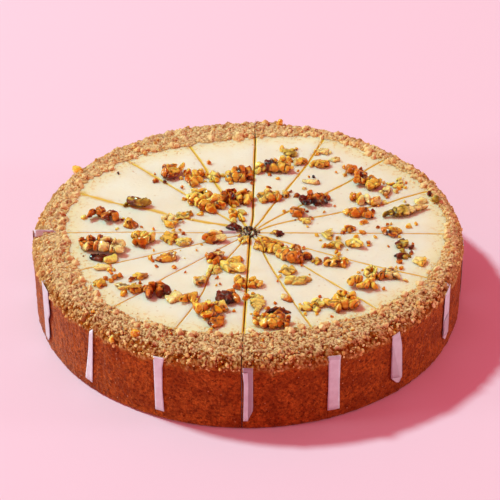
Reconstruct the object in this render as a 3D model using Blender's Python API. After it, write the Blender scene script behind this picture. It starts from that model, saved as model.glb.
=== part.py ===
"""A round baked cheesecake in a crumb crust, cut into sixteen slices, with walnuts on top.

Each slice is a crust and a filling. A paper divider stands in each cut, its end folded on the wall.
Metres, +Z up. The origin is the middle of the underside, and -Y is the side nearest the viewer.
"""

import math

import bmesh
import bpy
from mathutils import Matrix, Vector, noise

MM = 0.001
FIT_GAP = 0.3 * MM  # between pieces that touch

# The cake
CAKE_RADIUS = 127 * MM  # a ten inch tin
WALL_TOP = 42 * MM  # top of the smooth outer wall
FILLING_TOP = 46 * MM
WALL_THICKNESS = 6 * MM
BASE_THICKNESS = 5 * MM
FOOT_BEVEL = 1 * MM

# The cuts, counted anticlockwise from the one nearest the viewer
SLICES = 16
FIRST_CUT_DEG = 267.5
CUT_DRIFT_DEG = (0, -0.5, 0, 0.4, 1, 1, 0.5, 0, 0.5, 1, 1, 2.5, 2, 1, 0.5, 0)
HUB_ACROSS = 1.5 * MM  # where the cuts meet, off the cake's middle
HUB_AWAY = -1.5 * MM
NARROW_CUT = 1.1 * MM
WIDE_CUT = 1.6 * MM
WIDE_CUTS = (0, 8)
FILLING_INSET = 0.15 * MM  # the filling's cut faces stand back this far from the crust's
HUB_RADIUS = 4.5 * MM  # the slices' points have crumbled away inside this

# The band of crumbs that lies on the rim: its width (mm), every 22.5 degrees anticlockwise from +X
LIP_WIDTHS = (9, 8.5, 13, 12, 23, 23, 16.5, 14.5, 18.5, 21.5, 20, 22.5, 28, 25, 20, 13)
LIP_LEAST = 7.2 * MM
LIP_MIDDLE = 15 * MM  # how far in from the wall its width is told by azimuth
LIP_RAGGED = 2 * MM
LIP_RAGGED_SPAN = 13 * MM
LIP_EDGE = 0.7 * MM  # its thickness at the inner edge, and its least
LIP_RISES = ((0.7, 5.3), (0.35, 5.6))  # share of the way in from the shoulder, mm above WALL_TOP
SHOULDER = ((6.6, 5.2, 5), (4.1, 4, 3.2), (2.1, 2.7, 1.2), (0.8, 1.4, 0.4))  # mm in, mm up, its least
SHOULDER_MOST = 0.75  # of the band's width
CLUMP_HEIGHT = 2.4 * MM  # of the clumps of crumbs
CLUMP_SPAN = 7 * MM
CRAG_HEIGHT = 1.3 * MM
CRAG_SPAN = 3.4 * MM
ARC_STEPS = 16  # facets across a slice's crust
FILLING_STEPS = 6

# The paper dividers
PAPER = 0.4 * MM
PAPER_INNER = 7 * MM
PAPER_BOTTOM = 1 * MM
PAPER_TOP = 45.6 * MM
PAPER_RISE = (16 * MM, 7 * MM)  # how far from the wall it starts to rise, and has risen, to its rim height
TAB_CLEAR = 0.7 * MM  # from the wall to the middle of the paper
# The end of the paper at each cut: folded anticlockwise or clockwise, then mm: width, height at the
# rim, and of its upper and lower edge; and how far it stands open (degrees)
TABS = (
    (1, 6.2, 43, 43.4, 6.6, 6),
    (1, 7.2, 44, 44.4, 6.8, 6),
    (-1, 9, 43, 43.3, 8.5, 5),
    (-1, 8.8, 45.4, 43.4, 7, 6),
    (-1, 7, 43, 42.8, 7.2, 8),
    (1, 7.2, 43, 42.4, 6.5, 9),
    (-1, 6.8, 43, 42.6, 6.2, 7),
    (1, 7.4, 43, 42.2, 6, 10),
    (1, 7.2, 47.4, 42.6, 6.2, 8),
    (-1, 7, 43, 42.4, 6.4, 9),
    (1, 7.3, 43.6, 42.2, 6, 7),
    (-1, 7, 43, 42.6, 6.2, 8),
    (-1, 7.4, 48.2, 42.4, 6, 9),
    (1, 8, 45.2, 44.4, 5.6, 6),
    (1, 7, 43.4, 43, 5.8, 7),
    (1, 6.2, 43.4, 43.4, 6.2, 6),
)

# The walnuts: middle across and away, length, width, height (mm), turn (degrees), form
NUTS = (
    (-47, 63, 17, 11, 7, 30, "half"),
    (-33, 57, 13, 11, 7, -70, "chunk"),
    (-21, 58, 10, 8, 4, 30, "chip"),
    (-5, 59, 18, 13, 8, 10, "half"),
    (-26, 31, 25, 14, 8, -45, "half"),
    (-6, 33, 19, 15, 9, 10, "chunk"),
    (-7, 15, 13, 11, 6, 80, "chunk"),
    (-65, 29, 18, 10, 7, -15, "chunk"),
    (-86, 14, 19, 9, 7, -5, "half"),
    (-70, 7, 12, 10, 7, -40, "chunk"),
    (-62, -10, 17, 11, 7, 20, "chunk"),
    (-46.5, -7, 12, 9, 5, -10, "chip"),
    (-38, 17, 13, 7, 4, 10, "chip"),
    (-45, 9, 14, 9, 4, -35, "chip"),
    (-86, -18, 28, 10, 8, -12, "half"),
    (-88, -27, 12, 7, 5, 0, "chunk"),
    (-79, -29, 9, 8, 5, 60, "chip"),
    (-38, -12, 13, 8, 5, 15, "chunk"),
    (-20, -9, 14, 12, 8, 50, "chunk"),
    (-8, 3, 12, 8, 5, -30, "chip"),
    (-3, -10, 10, 7, 5, 50, "chunk"),
    (-46, -28, 18, 9, 6, 12, "chunk"),
    (-77, -45, 9, 5, 3, -25, "chip"),
    (-61, -46, 12, 6, 4, 0, "chunk"),
    (-72, -56, 11, 6, 4, -5, "chunk"),
    (-64, -59, 10, 8, 5, 30, "chunk"),
    (-52, -61, 17, 12, 8, 0, "chunk"),
    (-42, -68, 11, 8, 5, -20, "chip"),
    (-33, -69, 12, 9, 6, 40, "chunk"),
    (-22, -80, 19, 12, 7, 10, "half"),
    (-18, -91, 12, 9, 5, 30, "chunk"),
    (-19, -29, 12, 9, 6, 30, "chunk"),
    (-9, -36, 17, 15, 6, 60, "chip"),
    (-27, -51, 13, 7, 5, 60, "chunk"),
    (-20, -41, 14, 7, 5, 65, "chunk"),
    (-5, -56, 12, 8, 7, 80, "chunk"),
    (-11, -68, 14, 12, 7, 20, "chunk"),
    (4, -55, 10, 7, 6, 80, "chunk"),
    (5, -73, 15, 9, 6, 100, "chip"),
    (17, -81, 17, 6, 5, 8, "half"),
    (13, -92, 22, 9, 6, -8, "half"),
    (36, -76, 14, 10, 5, 20, "chip"),
    (53, -74, 21, 14, 7, 12, "half"),
    (23, -42, 12, 9, 6, 0, "chunk"),
    (28, -52, 20, 7, 5, 10, "chunk"),
    (22, -69, 10, 5, 4, -30, "chip"),
    (26, -27, 18, 12, 8, -35, "chunk"),
    (12, -18, 17, 11, 7, -15, "half"),
    (17, -4, 11, 5, 4, -20, "chip"),
    (50, -34, 14, 8, 6, -10, "half"),
    (47, -5, 11, 7, 5, 90, "chunk"),
    (51, -16, 13, 8, 5, 20, "chip"),
    (62, -15, 13, 8, 6, 0, "chunk"),
    (85, -3, 13, 9, 7, 10, "chunk"),
    (90, -16, 11, 7, 5, 80, "chip"),
    (89, -28, 11, 7, 5, 10, "chip"),
    (99, -33, 10, 8, 5, -50, "chip"),
    (71, -45, 11, 8, 5, 90, "chunk"),
    (81, -47, 13, 8, 5, -5, "half"),
    (65, -57, 18, 9, 6, -5, "half"),
    (27, 85, 12, 8, 5, -25, "chip"),
    (8, 66, 13, 6, 6, 80, "chunk"),
    (19, 67, 17, 9, 7, 0, "half"),
    (33, 75, 11, 7, 5, 10, "chunk"),
    (45, 72, 14, 8, 6, -5, "half"),
    (48, 87, 9, 6, 4, -30, "chip"),
    (40, 52, 13, 5, 4, -20, "chip"),
    (13, 35, 15, 9, 6, 10, "half"),
    (40, 31, 19, 12, 8, 10, "half"),
    (30, 18, 12, 10, 7, -40, "chunk"),
    (64, 65, 9, 8, 7, 0, "chunk"),
    (72, 51, 21, 13, 8, -35, "half"),
    (85, 42, 12, 6, 5, 80, "chip"),
    (71, 31, 20, 8, 7, -15, "chunk"),
    (66, 17, 17, 9, 6, -5, "chunk"),
    (94, 17, 25, 8, 6, 18, "half"),
    (104, 30, 8, 6, 4, 20, "chip"),
    (92, 50, 11, 8, 4, 30, "chip"),
    (-84, -37, 9, 6, 4, -10, "chip"),
    (-84, -52, 9, 6, 4, -15, "chunk"),
    (61, 1, 9, 5, 4, 10, "chunk"),
    (40, -32, 7, 6, 4, 0, "chunk"),
    (23, 38, 7, 6, 5, 0, "chunk"),
    (35, 9, 7, 6, 4, 20, "chunk"),
    (55, 77, 7, 5, 4, 0, "chip"),
)
LOOSE_NUTS = {  # the largest that a blade missed, by their place in NUTS
    0: "walnut_01", 7: "walnut_02", 8: "walnut_03", 10: "walnut_04", 14: "walnut_05", 29: "walnut_06",
    40: "walnut_07", 42: "walnut_08", 59: "walnut_09", 62: "walnut_10", 71: "walnut_11", 75: "walnut_12",
}
NUT_SUNK = 0.16  # the share of a fused nut's height that is in the filling
NUT_FINE_LENGTH = 16 * MM  # longer nuts get the finer mesh
NUT_INSET = 0.4 * MM  # from a slice's cut face
NUT_LEAST = 30 * MM**3  # smaller scraps that a cut leaves are dropped
GROOVE_DEPTH = 0.3
LUMP_SHARE = 0.2


def clear_scene():
    for obj in list(bpy.data.objects):
        bpy.data.objects.remove(obj)


def make_material(name, colour, roughness):
    material = bpy.data.materials.new(name)
    material.use_nodes = True
    shader = material.node_tree.nodes["Principled BSDF"]
    shader.inputs["Base Color"].default_value = (*colour, 1)
    shader.inputs["Roughness"].default_value = roughness
    return material


def make_object(name, bm, material, collection=None):
    bmesh.ops.recalc_face_normals(bm, faces=bm.faces)
    if bm.calc_volume(signed=True) < 0:
        bmesh.ops.reverse_faces(bm, faces=bm.faces)
    mesh = bpy.data.meshes.new(name)
    bm.to_mesh(mesh)
    bm.free()
    obj = bpy.data.objects.new(name, mesh)
    obj.data.materials.append(material)
    (collection or bpy.context.scene.collection).objects.link(obj)
    return obj


# Where the cuts run


def cut_azimuth(cut):
    turns, index = divmod(cut, SLICES)
    degrees = FIRST_CUT_DEG + cut * 360 / SLICES + CUT_DRIFT_DEG[index]
    return math.radians(degrees)


def half_cut(cut):
    return (WIDE_CUT if cut % SLICES in WIDE_CUTS else NARROW_CUT) / 2


def off_middle(cut):
    """How far a cut passes from the cake's middle."""
    azimuth = cut_azimuth(cut)
    return HUB_AWAY * math.cos(azimuth) - HUB_ACROSS * math.sin(azimuth)


def slice_azimuth(index, share, radius, inset=0):
    """The azimuth at a share of the way across a slice, whose faces are parallel to its two cuts."""
    low, high = (
        cut_azimuth(cut) + math.asin(off_middle(cut) / CAKE_RADIUS + side * (half_cut(cut) + inset) / radius)
        for cut, side in ((index, 1), (index + 1, -1))
    )
    return low + share * (high - low)


def polar(radius, azimuth, height):
    return Vector((radius * math.cos(azimuth), radius * math.sin(azimuth), height))


def ring_point(radius, azimuth, height):
    """A point of a slice: the rings are round the cake's middle at the wall and round the hub inside."""
    shift = 1 - radius / CAKE_RADIUS
    return polar(radius, azimuth, height) + Vector((HUB_ACROSS, HUB_AWAY, 0)) * shift


# The forms of the top


def lip_width(azimuth):
    step, share = divmod(math.degrees(azimuth) / 22.5, 1)
    low, high = (LIP_WIDTHS[int(step + more) % len(LIP_WIDTHS)] * MM for more in (0, 1))
    where = polar(CAKE_RADIUS, azimuth, 0) / LIP_RAGGED_SPAN
    return max(LIP_LEAST, low + share * (high - low) + LIP_RAGGED * noise.noise(where))


def crag(place):
    """Clumps and hollows of the crumb band, by where they are on the cake."""
    clump = max(0, 1 - 2 * noise.voronoi(place / CLUMP_SPAN)[0][0])
    return CLUMP_HEIGHT * (clump - 0.3) + CRAG_HEIGHT * noise.noise(place / CRAG_SPAN)


def lip_rows(index, share):
    """(radius, height) down the crumb band of a slice, from its inner edge out to the wall."""
    azimuth = slice_azimuth(index, share, CAKE_RADIUS - LIP_MIDDLE)
    width = lip_width(azimuth)
    inner = CAKE_RADIUS - width
    lowest = FILLING_TOP + FIT_GAP
    narrow = min(1, SHOULDER_MOST * width / (SHOULDER[0][0] * MM))
    shoulder = CAKE_RADIUS - SHOULDER[0][0] * MM * narrow
    rows = [(inner, lowest), (inner, lowest + LIP_EDGE)]
    places = [(shoulder + part * (inner - shoulder), rise, SHOULDER[0][2]) for part, rise in LIP_RISES]
    places += [(CAKE_RADIUS - inwards * MM * narrow, rise, least) for inwards, rise, least in SHOULDER]
    for radius, rise, least in places:
        height = rise * MM + crag(polar(radius, azimuth, 0))
        rows.append((radius, WALL_TOP + max(height, least * MM)))
    rows.append((CAKE_RADIUS, WALL_TOP + crag(polar(CAKE_RADIUS, azimuth, 0)) / 2))
    return rows


# Solids of a slice


def slice_solid(index, profile, steps, tip_heights, inset=0):
    """A closed wedge: profile(share) gives (radius, height) points that run from the top face's
    outer edge round to the underside's, and the wedge's point has the two tip heights."""
    bm = bmesh.new()

    def corner_at(share, radius, height):
        return bm.verts.new(ring_point(radius, slice_azimuth(index, share, radius, inset), height))

    rings = []
    for step in range(steps + 1):
        share = step / steps
        rings.append([corner_at(share, r, z) for r, z in profile(share)])
    high, low = ([corner_at(share, HUB_RADIUS, z) for share in (0, 1)] for z in tip_heights)
    for ring, following in zip(rings, rings[1:]):
        for corner in range(len(ring) - 1):
            bm.faces.new((ring[corner], ring[corner + 1], following[corner + 1], following[corner]))
    for row, tips in ((0, high), (-1, low)):
        edge = [ring[row] for ring in rings]
        for near, far in zip(edge, edge[1:]):
            bm.faces.new((tips[0], near, far))
        bm.faces.new((tips[0], edge[-1], tips[1]))
    bm.faces.new((high[0], high[1], low[1], low[0]))
    for ring, top, under in ((rings[0], high[0], low[0]), (rings[-1], high[1], low[1])):
        bm.faces.new((top, under, ring[-1], ring[0]))
        if len(ring) > 2:
            bm.faces.new(ring)
    bmesh.ops.recalc_face_normals(bm, faces=bm.faces)
    bmesh.ops.triangulate(bm, faces=bm.faces, ngon_method="EAR_CLIP")
    return bm


def crust_profile(index):
    inner_wall = CAKE_RADIUS - WALL_THICKNESS

    def profile(share):
        return [
            (inner_wall, BASE_THICKNESS),
            (inner_wall, FILLING_TOP + FIT_GAP),
            *lip_rows(index, share),
            (CAKE_RADIUS, FOOT_BEVEL),
            (CAKE_RADIUS - FOOT_BEVEL, 0),
        ]

    return profile


def filling_profile(share):
    outer = CAKE_RADIUS - WALL_THICKNESS - FIT_GAP
    return [(outer, FILLING_TOP), (outer, BASE_THICKNESS + FIT_GAP)]


def lumpy(bm, roughness, seed):
    """Pushes a unit ball's points in and out."""
    for vert in bm.verts:
        vert.co *= 1 + roughness * noise.noise(vert.co * 1.4 + Vector((seed * 3.1, 0, 0)))


# Walnuts


def nut_solid(place):
    """One walnut piece where it lies, its underside on the filling."""
    across, away, length, width, height, turn, form = NUTS[place]
    bm = bmesh.new()
    fine = length * MM >= NUT_FINE_LENGTH or place in LOOSE_NUTS
    bmesh.ops.create_icosphere(bm, subdivisions=2 if fine else 1, radius=1)
    lumpy(bm, 0.55 if form == "chunk" else 0.4, place)
    for vert in bm.verts:
        x, y, z = vert.co
        if form == "half":
            lobes = 1 + LUMP_SHARE * math.sin(6 * x + place)
            groove = GROOVE_DEPTH * math.exp(-((y / 0.25) ** 2))
            vert.co = (x, y * lobes, z * (lobes - groove) if z > 0 else 0.5 * z)
        elif form == "chip":
            vert.co = (x * (1 - 0.25 * y), y, min(z, 0.55 + 0.2 * x))
        vert.co.z = max(vert.co.z, -0.6)
    low = min(vert.co.z for vert in bm.verts)
    high = max(vert.co.z for vert in bm.verts)
    size = Matrix.Diagonal((length * MM / 2, width * MM / 2, height * MM / (high - low), 1))
    bm.transform(Matrix.Rotation(math.radians(turn), 4, "Z") @ size @ Matrix.Translation((0, 0, -low)))
    bm.transform(Matrix.Translation((across * MM, away * MM, FILLING_TOP)))
    return bm


def trim_to_slice(bm, index):
    """Cuts away what of a nut is beyond a slice's two faces."""
    for cut, inward in ((index, 1), (index + 1, -1)):
        azimuth = cut_azimuth(cut)
        normal = Vector((-math.sin(azimuth), math.cos(azimuth), 0)) * inward
        bmesh.ops.bisect_plane(
            bm,
            geom=bm.verts[:] + bm.edges[:] + bm.faces[:],
            plane_co=normal * (half_cut(cut) + NUT_INSET) + Vector((HUB_ACROSS, HUB_AWAY, 0)),
            plane_no=normal,
            clear_inner=True,
        )
        bmesh.ops.holes_fill(bm, edges=[edge for edge in bm.edges if edge.is_boundary])
        bmesh.ops.triangulate(bm, faces=bm.faces, ngon_method="EAR_CLIP")


def nut_reaches(place, index):
    """Whether a nut could lie on this slice: it does unless it is wholly beyond one of the faces."""
    across, away, length = (value * MM for value in NUTS[place][:3])
    across, away = across - HUB_ACROSS, away - HUB_AWAY
    for cut, inward in ((index, 1), (index + 1, -1)):
        azimuth = cut_azimuth(cut)
        inside = inward * (away * math.cos(azimuth) - across * math.sin(azimuth))
        if inside < -length / 2:
            return False
    middle = (cut_azimuth(index) + cut_azimuth(index + 1)) / 2
    return across * math.cos(middle) + away * math.sin(middle) > -length / 2


def slice_nuts(index, material, collection):
    """The nuts, or the parts of nuts, that are fused to a slice's filling."""
    for place, nut in enumerate(NUTS):
        if place in LOOSE_NUTS or not nut_reaches(place, index):
            continue
        bm = nut_solid(place)
        bm.transform(Matrix.Translation((0, 0, -NUT_SUNK * nut[4] * MM)))
        trim_to_slice(bm, index)
        seated = any(vert.co.z < FILLING_TOP for vert in bm.verts)
        if seated and bm.calc_volume() > NUT_LEAST:
            make_object(f"nut_{index}_{place}", bm, material, collection)
        else:
            bm.free()


def fuse_nuts(obj, index, material):
    """Joins a slice's nuts to its filling, by one union that is applied."""
    pieces = bpy.data.collections.new("to_fuse")
    bpy.context.scene.collection.children.link(pieces)
    slice_nuts(index, material, pieces)
    union = obj.modifiers.new("fuse", "BOOLEAN")
    union.operation = "UNION"
    union.solver = "MANIFOLD"
    union.operand_type = "COLLECTION"
    union.collection = pieces
    graph = bpy.context.evaluated_depsgraph_get()
    joined = bpy.data.meshes.new_from_object(obj.evaluated_get(graph))
    obj.modifiers.clear()
    obj.data = joined
    for piece in list(pieces.objects):
        bpy.data.objects.remove(piece)
    bpy.data.collections.remove(pieces)


# Paper


def cut_point(cut, radius):
    """Where a cut's line is at a distance from the cake's middle."""
    azimuth = cut_azimuth(cut)
    along = math.sqrt(radius**2 - off_middle(cut) ** 2)
    return polar(along, azimuth, 0) + off_middle(cut) * Vector((-math.sin(azimuth), math.cos(azimuth), 0))


def divider_path(cut):
    """The paper's line seen from above, out along the cut and round on to the wall, with its lower
    and upper edge at each point."""
    side, width, rim, top, bottom, opening = TABS[cut]
    start, risen = PAPER_RISE
    path = [
        (cut_point(cut, PAPER_INNER), PAPER_BOTTOM, PAPER_TOP),
        (cut_point(cut, CAKE_RADIUS - start), PAPER_BOTTOM, PAPER_TOP),
        (cut_point(cut, CAKE_RADIUS - risen), PAPER_BOTTOM, max(PAPER_TOP, rim * MM)),
        (cut_point(cut, CAKE_RADIUS - PAPER), PAPER_BOTTOM, rim * MM),
    ]
    corner = cut_point(cut, CAKE_RADIUS + TAB_CLEAR)
    path.append((corner, (PAPER_BOTTOM + bottom * MM) / 2, (rim + top) / 2 * MM))
    heading = math.atan2(corner.y, corner.x) + side * math.radians(90 - opening)
    for share in (0.5, 1):
        path.append((corner + polar(share * width * MM, heading, 0), bottom * MM, top * MM))
    return path


def divider(cut, material):
    path = divider_path(cut)
    bm = bmesh.new()
    sections = []
    for number, (point, low, high) in enumerate(path):
        before = path[max(number - 1, 0)][0]
        after = path[min(number + 1, len(path) - 1)][0]
        into = (point - before).normalized() if number else (after - point).normalized()
        out = (after - point).normalized() if after != point else into
        mitre = (into + out).normalized()
        across = Vector((-mitre.y, mitre.x, 0)) * (PAPER / 2 / max(mitre.dot(into), 0.5))
        corners = ((across, low), (across, high), (-across, high), (-across, low))
        sections.append([bm.verts.new(point + side + Vector((0, 0, z))) for side, z in corners])
    for section, following in zip(sections, sections[1:]):
        for corner in range(4):
            other = (corner + 1) % 4
            bm.faces.new((section[corner], section[other], following[other], following[corner]))
    bm.faces.new(sections[0][::-1])
    bm.faces.new(sections[-1])
    bmesh.ops.triangulate(bm, faces=bm.faces, ngon_method="EAR_CLIP")
    return make_object(f"divider_{cut + 1:02d}", bm, material)


def main():
    clear_scene()
    crust = make_material("crust", (0.53, 0.25, 0.10), 0.9)
    filling = make_material("filling", (0.90, 0.76, 0.52), 0.5)
    walnut = make_material("walnut", (0.55, 0.24, 0.05), 0.3)
    paper = make_material("paper", (0.85, 0.80, 0.84), 0.5)
    for index in range(SLICES):
        body = slice_solid(index, crust_profile(index), ARC_STEPS, (BASE_THICKNESS, 0))
        tip = (FILLING_TOP, BASE_THICKNESS + FIT_GAP)
        wedge = slice_solid(index, filling_profile, FILLING_STEPS, tip, FILLING_INSET)
        make_object(f"crust_{index + 1:02d}", body, crust)
        fuse_nuts(make_object(f"filling_{index + 1:02d}", wedge, filling), index, walnut)
        divider(index, paper)
    for place, name in LOOSE_NUTS.items():
        bm = nut_solid(place)
        bm.transform(Matrix.Translation((0, 0, FIT_GAP)))
        make_object(name, bm, walnut)


main()
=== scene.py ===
import math
import random

import bmesh
import bpy
import numpy as np
from mathutils import Matrix, Vector, noise


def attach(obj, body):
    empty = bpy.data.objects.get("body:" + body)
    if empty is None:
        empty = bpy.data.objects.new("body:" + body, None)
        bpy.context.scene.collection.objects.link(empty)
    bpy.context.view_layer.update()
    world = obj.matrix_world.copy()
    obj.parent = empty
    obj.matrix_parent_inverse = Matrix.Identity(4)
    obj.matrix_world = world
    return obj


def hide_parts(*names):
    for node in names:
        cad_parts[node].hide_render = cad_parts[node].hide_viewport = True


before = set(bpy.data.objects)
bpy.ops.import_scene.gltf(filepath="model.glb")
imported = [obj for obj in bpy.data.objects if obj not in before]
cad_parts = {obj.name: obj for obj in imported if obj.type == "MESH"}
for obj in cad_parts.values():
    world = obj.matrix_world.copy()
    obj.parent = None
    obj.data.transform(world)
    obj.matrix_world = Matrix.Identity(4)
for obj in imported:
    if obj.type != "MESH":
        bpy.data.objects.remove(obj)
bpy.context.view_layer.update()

MM = 0.001
TAU = math.tau

# The cake's sizes, as in its solids
CAKE_RADIUS = 127 * MM
WALL_TOP = 42 * MM
FILLING_TOP = 46 * MM
WALL_THICKNESS = 6 * MM
BASE_THICKNESS = 5 * MM
FOOT_BEVEL = 1 * MM
FIT_GAP = 0.3 * MM
SLICES = 16
FIRST_CUT_DEG = 267.5
CUT_DRIFT_DEG = (0, -0.5, 0, 0.4, 1, 1, 0.5, 0, 0.5, 1, 1, 2.5, 2, 1, 0.5, 0)
HUB = np.array((1.5, -1.5, 0)) * MM  # where the cuts meet
WIDE_CUTS = (0, 8)
HUB_RADIUS = 4.5 * MM
LIP_WIDTHS = (9, 8.5, 13, 12, 23, 23, 16.5, 14.5, 18.5, 21.5, 20, 22.5, 28, 25, 20, 13)
LIP_LEAST = 7.2 * MM
LIP_MIDDLE = 15 * MM
LIP_RAGGED = 2 * MM
LIP_RAGGED_SPAN = 13 * MM
SHOULDER = ((0, 0), (0.8, 1.4), (2.1, 2.7), (4.1, 4), (6.6, 5.2))  # mm in from the wall, mm above it
LIP_RISES = ((0.35, 5.6), (0.7, 5.3))  # and further in: shares of what is left, mm
SHOULDER_MOST = 0.75
CLUMP_HEIGHT = 2.4 * MM
CLUMP_SPAN = 7 * MM
CRAG_HEIGHT = 1.3 * MM
CRAG_SPAN = 3.4 * MM

# What the solids leave out
ACROSS = 96  # columns of a crust slice
BAND_ROWS = 54
WALL_ROWS = 27
BASE_ROWS = 6
LIP_THIN = 0.25 * MM  # the band's thickness at its inner edge
CRUMB_SUNK = 0.5 * MM  # how far the band and its crumbs reach into the filling
LUMP_SPAN = 3.8 * MM
LUMP_HEIGHT = 1.8 * MM
GRAIN_SPAN = 1.5 * MM
GRAIN_HEIGHT = 0.6 * MM
FINE_SPAN = 1 * MM
FINE_HEIGHT = 0.3 * MM
PIT_SPAN = 1.7 * MM
PIT_DEPTH = 0.7 * MM
RAGGED_EDGE = (1.6 * MM, 5.5 * MM)  # how far the band's inner edge strays, and over what span
LOWER_EDGE = (1.9 * MM, 7 * MM)  # and its lower edge on the wall
LOWER_REACH = 1.8 * MM  # how far down that lies
WALL_ROWS_TOP = WALL_TOP - 0.7 * MM
CRUMBS = 440  # loose ones to a slice
CLUMPS = 9  # and larger ones
EDGE_CRUMBS = 36  # and over the top edge of the wall
CRUMB_MEDIAN = 0.54  # the loose ones' radius, mm
CRUMB_SPREAD = 0.36
STRAY_SHARE = 0.09  # of them, those that lie on the filling
COARSE_FROM = 0.95 * MM  # from this radius on, balls of 80 faces instead of 20
RUBBLE = 150  # crumbs in the hole in the middle
RUBBLE_RADIUS = 5.6 * MM
RUBBLE_DEPTH = 6 * MM
RUBBLE_TONES = ((70, 44, 28), (150, 108, 66), (226, 206, 176))
HOLLOW = (182.5, 2.5, 4.6, 8)  # beside the paper that shows: azimuth, mm in from the wall, depth, reach
CRUST_GAP = (0.06 * MM, 0.3 * MM)  # half of what stays open of a narrow and of a wide cut, in the crumbs
CREAM_GAP = (0.09 * MM, 0.36 * MM)  # and in the filling
WANDER_RADII = np.array((4.5, 12, 30, 48, 66, 84, 102, 118, 127)) * MM
CUT_WANDER = {  # how far a cut strays anticlockwise from its line at those radii (mm)
    1: (0, 0.8, -0.4, -0.7, -0.6, -0.2, 0.5, 0.2, 0),
    2: (0, 0.6, 0.4, -0.5, -0.4, -0.2, 0.4, 0.1, 0),
    3: (0, -0.5, -1.3, -1.8, -2.2, -2, -1.3, -0.6, 0),
    5: (0, 1.7, 2.1, 0.2, -0.3, -1.6, 0.3, 0.9, 0),
    6: (0, 0.6, 0.3, -0.5, -1.2, -1.6, 0.4, 0.5, 0),
    7: (0, -0.6, -0.3, -0.8, -1, -0.8, 0.6, 1.2, 0),
    8: (0, -0.9, -0.8, -0.5, -0.4, -0.3, -0.1, 0.5, 0),
    9: (0, 0.2, 0.2, 0.5, 0.6, 0.1, 0.5, -0.3, 0),
    11: (0, -1.6, 0.2, 0.8, 0, 0.9, 0, -1, 0),
    12: (0, 0, 0, 0, -0.5, -0.4, 0, 0, 0),
    13: (0, 0, 0, 0, 0.3, 0, -0.7, 0, 0),
    14: (0, 0, 0, 0.1, -0.7, 0.9, 0.7, 0.3, 0),
    15: (0, -0.2, -1, -3, 0.5, 1.5, 1.4, 0.9, 0),
}

# The filling's top
CUT_GOLD = (  # how wide the edges of each cut are browned (mm)
    0.6, 0.45, 0.5, 0.5, 0.4, 0.55, 0.6, 0.7, 0.5, 0.8, 0.8, 0.9, 0.3, 0.3, 0.3, 0.35,
)
CREAM_EDGE = np.array([0, 0.12, 0.3, 0.5, 0.75, 1.1]) * MM  # columns beside a cut, out to where it is flat
CREAM_COLUMNS = 17  # between those
CREAM_ROWS = (7, 62)  # near the middle and beyond it
CREAM_NEAR = 12 * MM
CREAM_WAVES = ((0.22, 26, 61), (0.07, 5, 67))  # height, span (mm), seed
CREAM_ROUNDING = 0.45
CREAM_SIDES = (FILLING_TOP - 2 * MM, FILLING_TOP - 8 * MM, BASE_THICKNESS + FIT_GAP)

# The paper
PAPER = 0.14 * MM
PAPER_INNER = 7 * MM
PAPER_BOTTOM = 1 * MM
PAPER_HIDDEN = 43.5 * MM  # its top where it is out of sight
PAPER_RISE = 18 * MM  # this far in from the wall it begins to rise to the rim
PAPER_OUT = np.array((-11, -7, -4, -2, -0.6)) * MM  # the last stations, from the wall
PAPER_CLEAR = 0.5 * MM
PAPER_OPENING = math.radians(2.5)
PAPER_WAVE = 0.16 * MM
RIM_HEIGHTS = {0: 43.4, 1: 44.4, 3: 45.4, 8: 47.6, 12: 48.2, 13: 45.2}  # mm, where it shows at the rim
RIM_HIDDEN = 43
SHOWN_CUT = 12  # here it also shows at the middle
SHOWN_REACH = 25 * MM
SHOWN_TOP = 47.2 * MM
SHOWN_FROM = 112 * MM  # and from here to the rim
# By cut, the flat parts of the paper's end on the wall: lift (mm), shade, and rungs from top to bottom. A
# rung is its two ends, each as mm along the wall anticlockwise from the cut, and mm up.
TABS = {
    0: (
        (0, 0.8, ((0.7, 43.4, 6.2, 43.4), (1.3, 32, 6.2, 32), (0.9, 14, 6.2, 14), (0.7, 6.6, 3.2, 6.6))),
        (0.4, 0, ((0.6, 40.5, 3.4, 40.5), (1.4, 32, 3.7, 32), (1.2, 20, 3.5, 20), (0.8, 6.4, 3.3, 6.6))),
    ),
    1: (
        (0, 0, ((0, 45.1, 7.2, 44.1), (0.2, 41.8, 7, 41), (0.3, 24, 6.9, 24), (0, 7, 7.2, 6.6))),
        (0.5, 0.3, ((0, 44.9, 7.1, 43.9), (0.3, 42.6, 7, 41.6))),
    ),
    2: (
        (0, 0.25, ((-9, 43.1, -3.4, 43.7), (-9, 34, -0.9, 33), (-9, 13.7, 0.4, 10), (-4.4, 8.2, -2.4, 7.3))),
        (0.4, 0.5, ((-9, 36, -8.4, 36), (-8.8, 13.7, -2, 11))),
    ),
    3: (
        (0, 0.1, ((-8, 42.7, -0.4, 45.4), (-8.6, 28, 0, 28), (-8.8, 13, 0, 11), (-4.6, 8.6, -3.4, 8.6))),
        (0.4, 0.5, ((-8.2, 24, -1, 26), (-8.6, 13.2, -0.4, 11.4))),
    ),
    12: ((0, 0, ((-7.4, 42.4, 0, 48), (-7.2, 24, 0, 24), (-7.4, 6, 0, 6))),),
    13: ((0, 0.35, (
        (0, 45.2, 11.5, 44.6), (0, 38, 11, 37), (0, 30, 12, 29), (0, 24, 8.5, 23), (0, 12, 9, 11),
        (0, 5.6, 5, 5.4),
    )),),
    14: ((0, 0, ((5, 42.5, 8, 45.5), (3.4, 30, 7, 30), (0.6, 16, 5.6, 16), (-1.5, 6, 4.5, 5.5))),),
    15: ((0, 0, ((0, 43.5, 6.6, 44.2), (0, 38, 5.4, 38), (0, 22, 4.9, 22), (0, 6.2, 5.4, 6.2))),),
}
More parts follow.
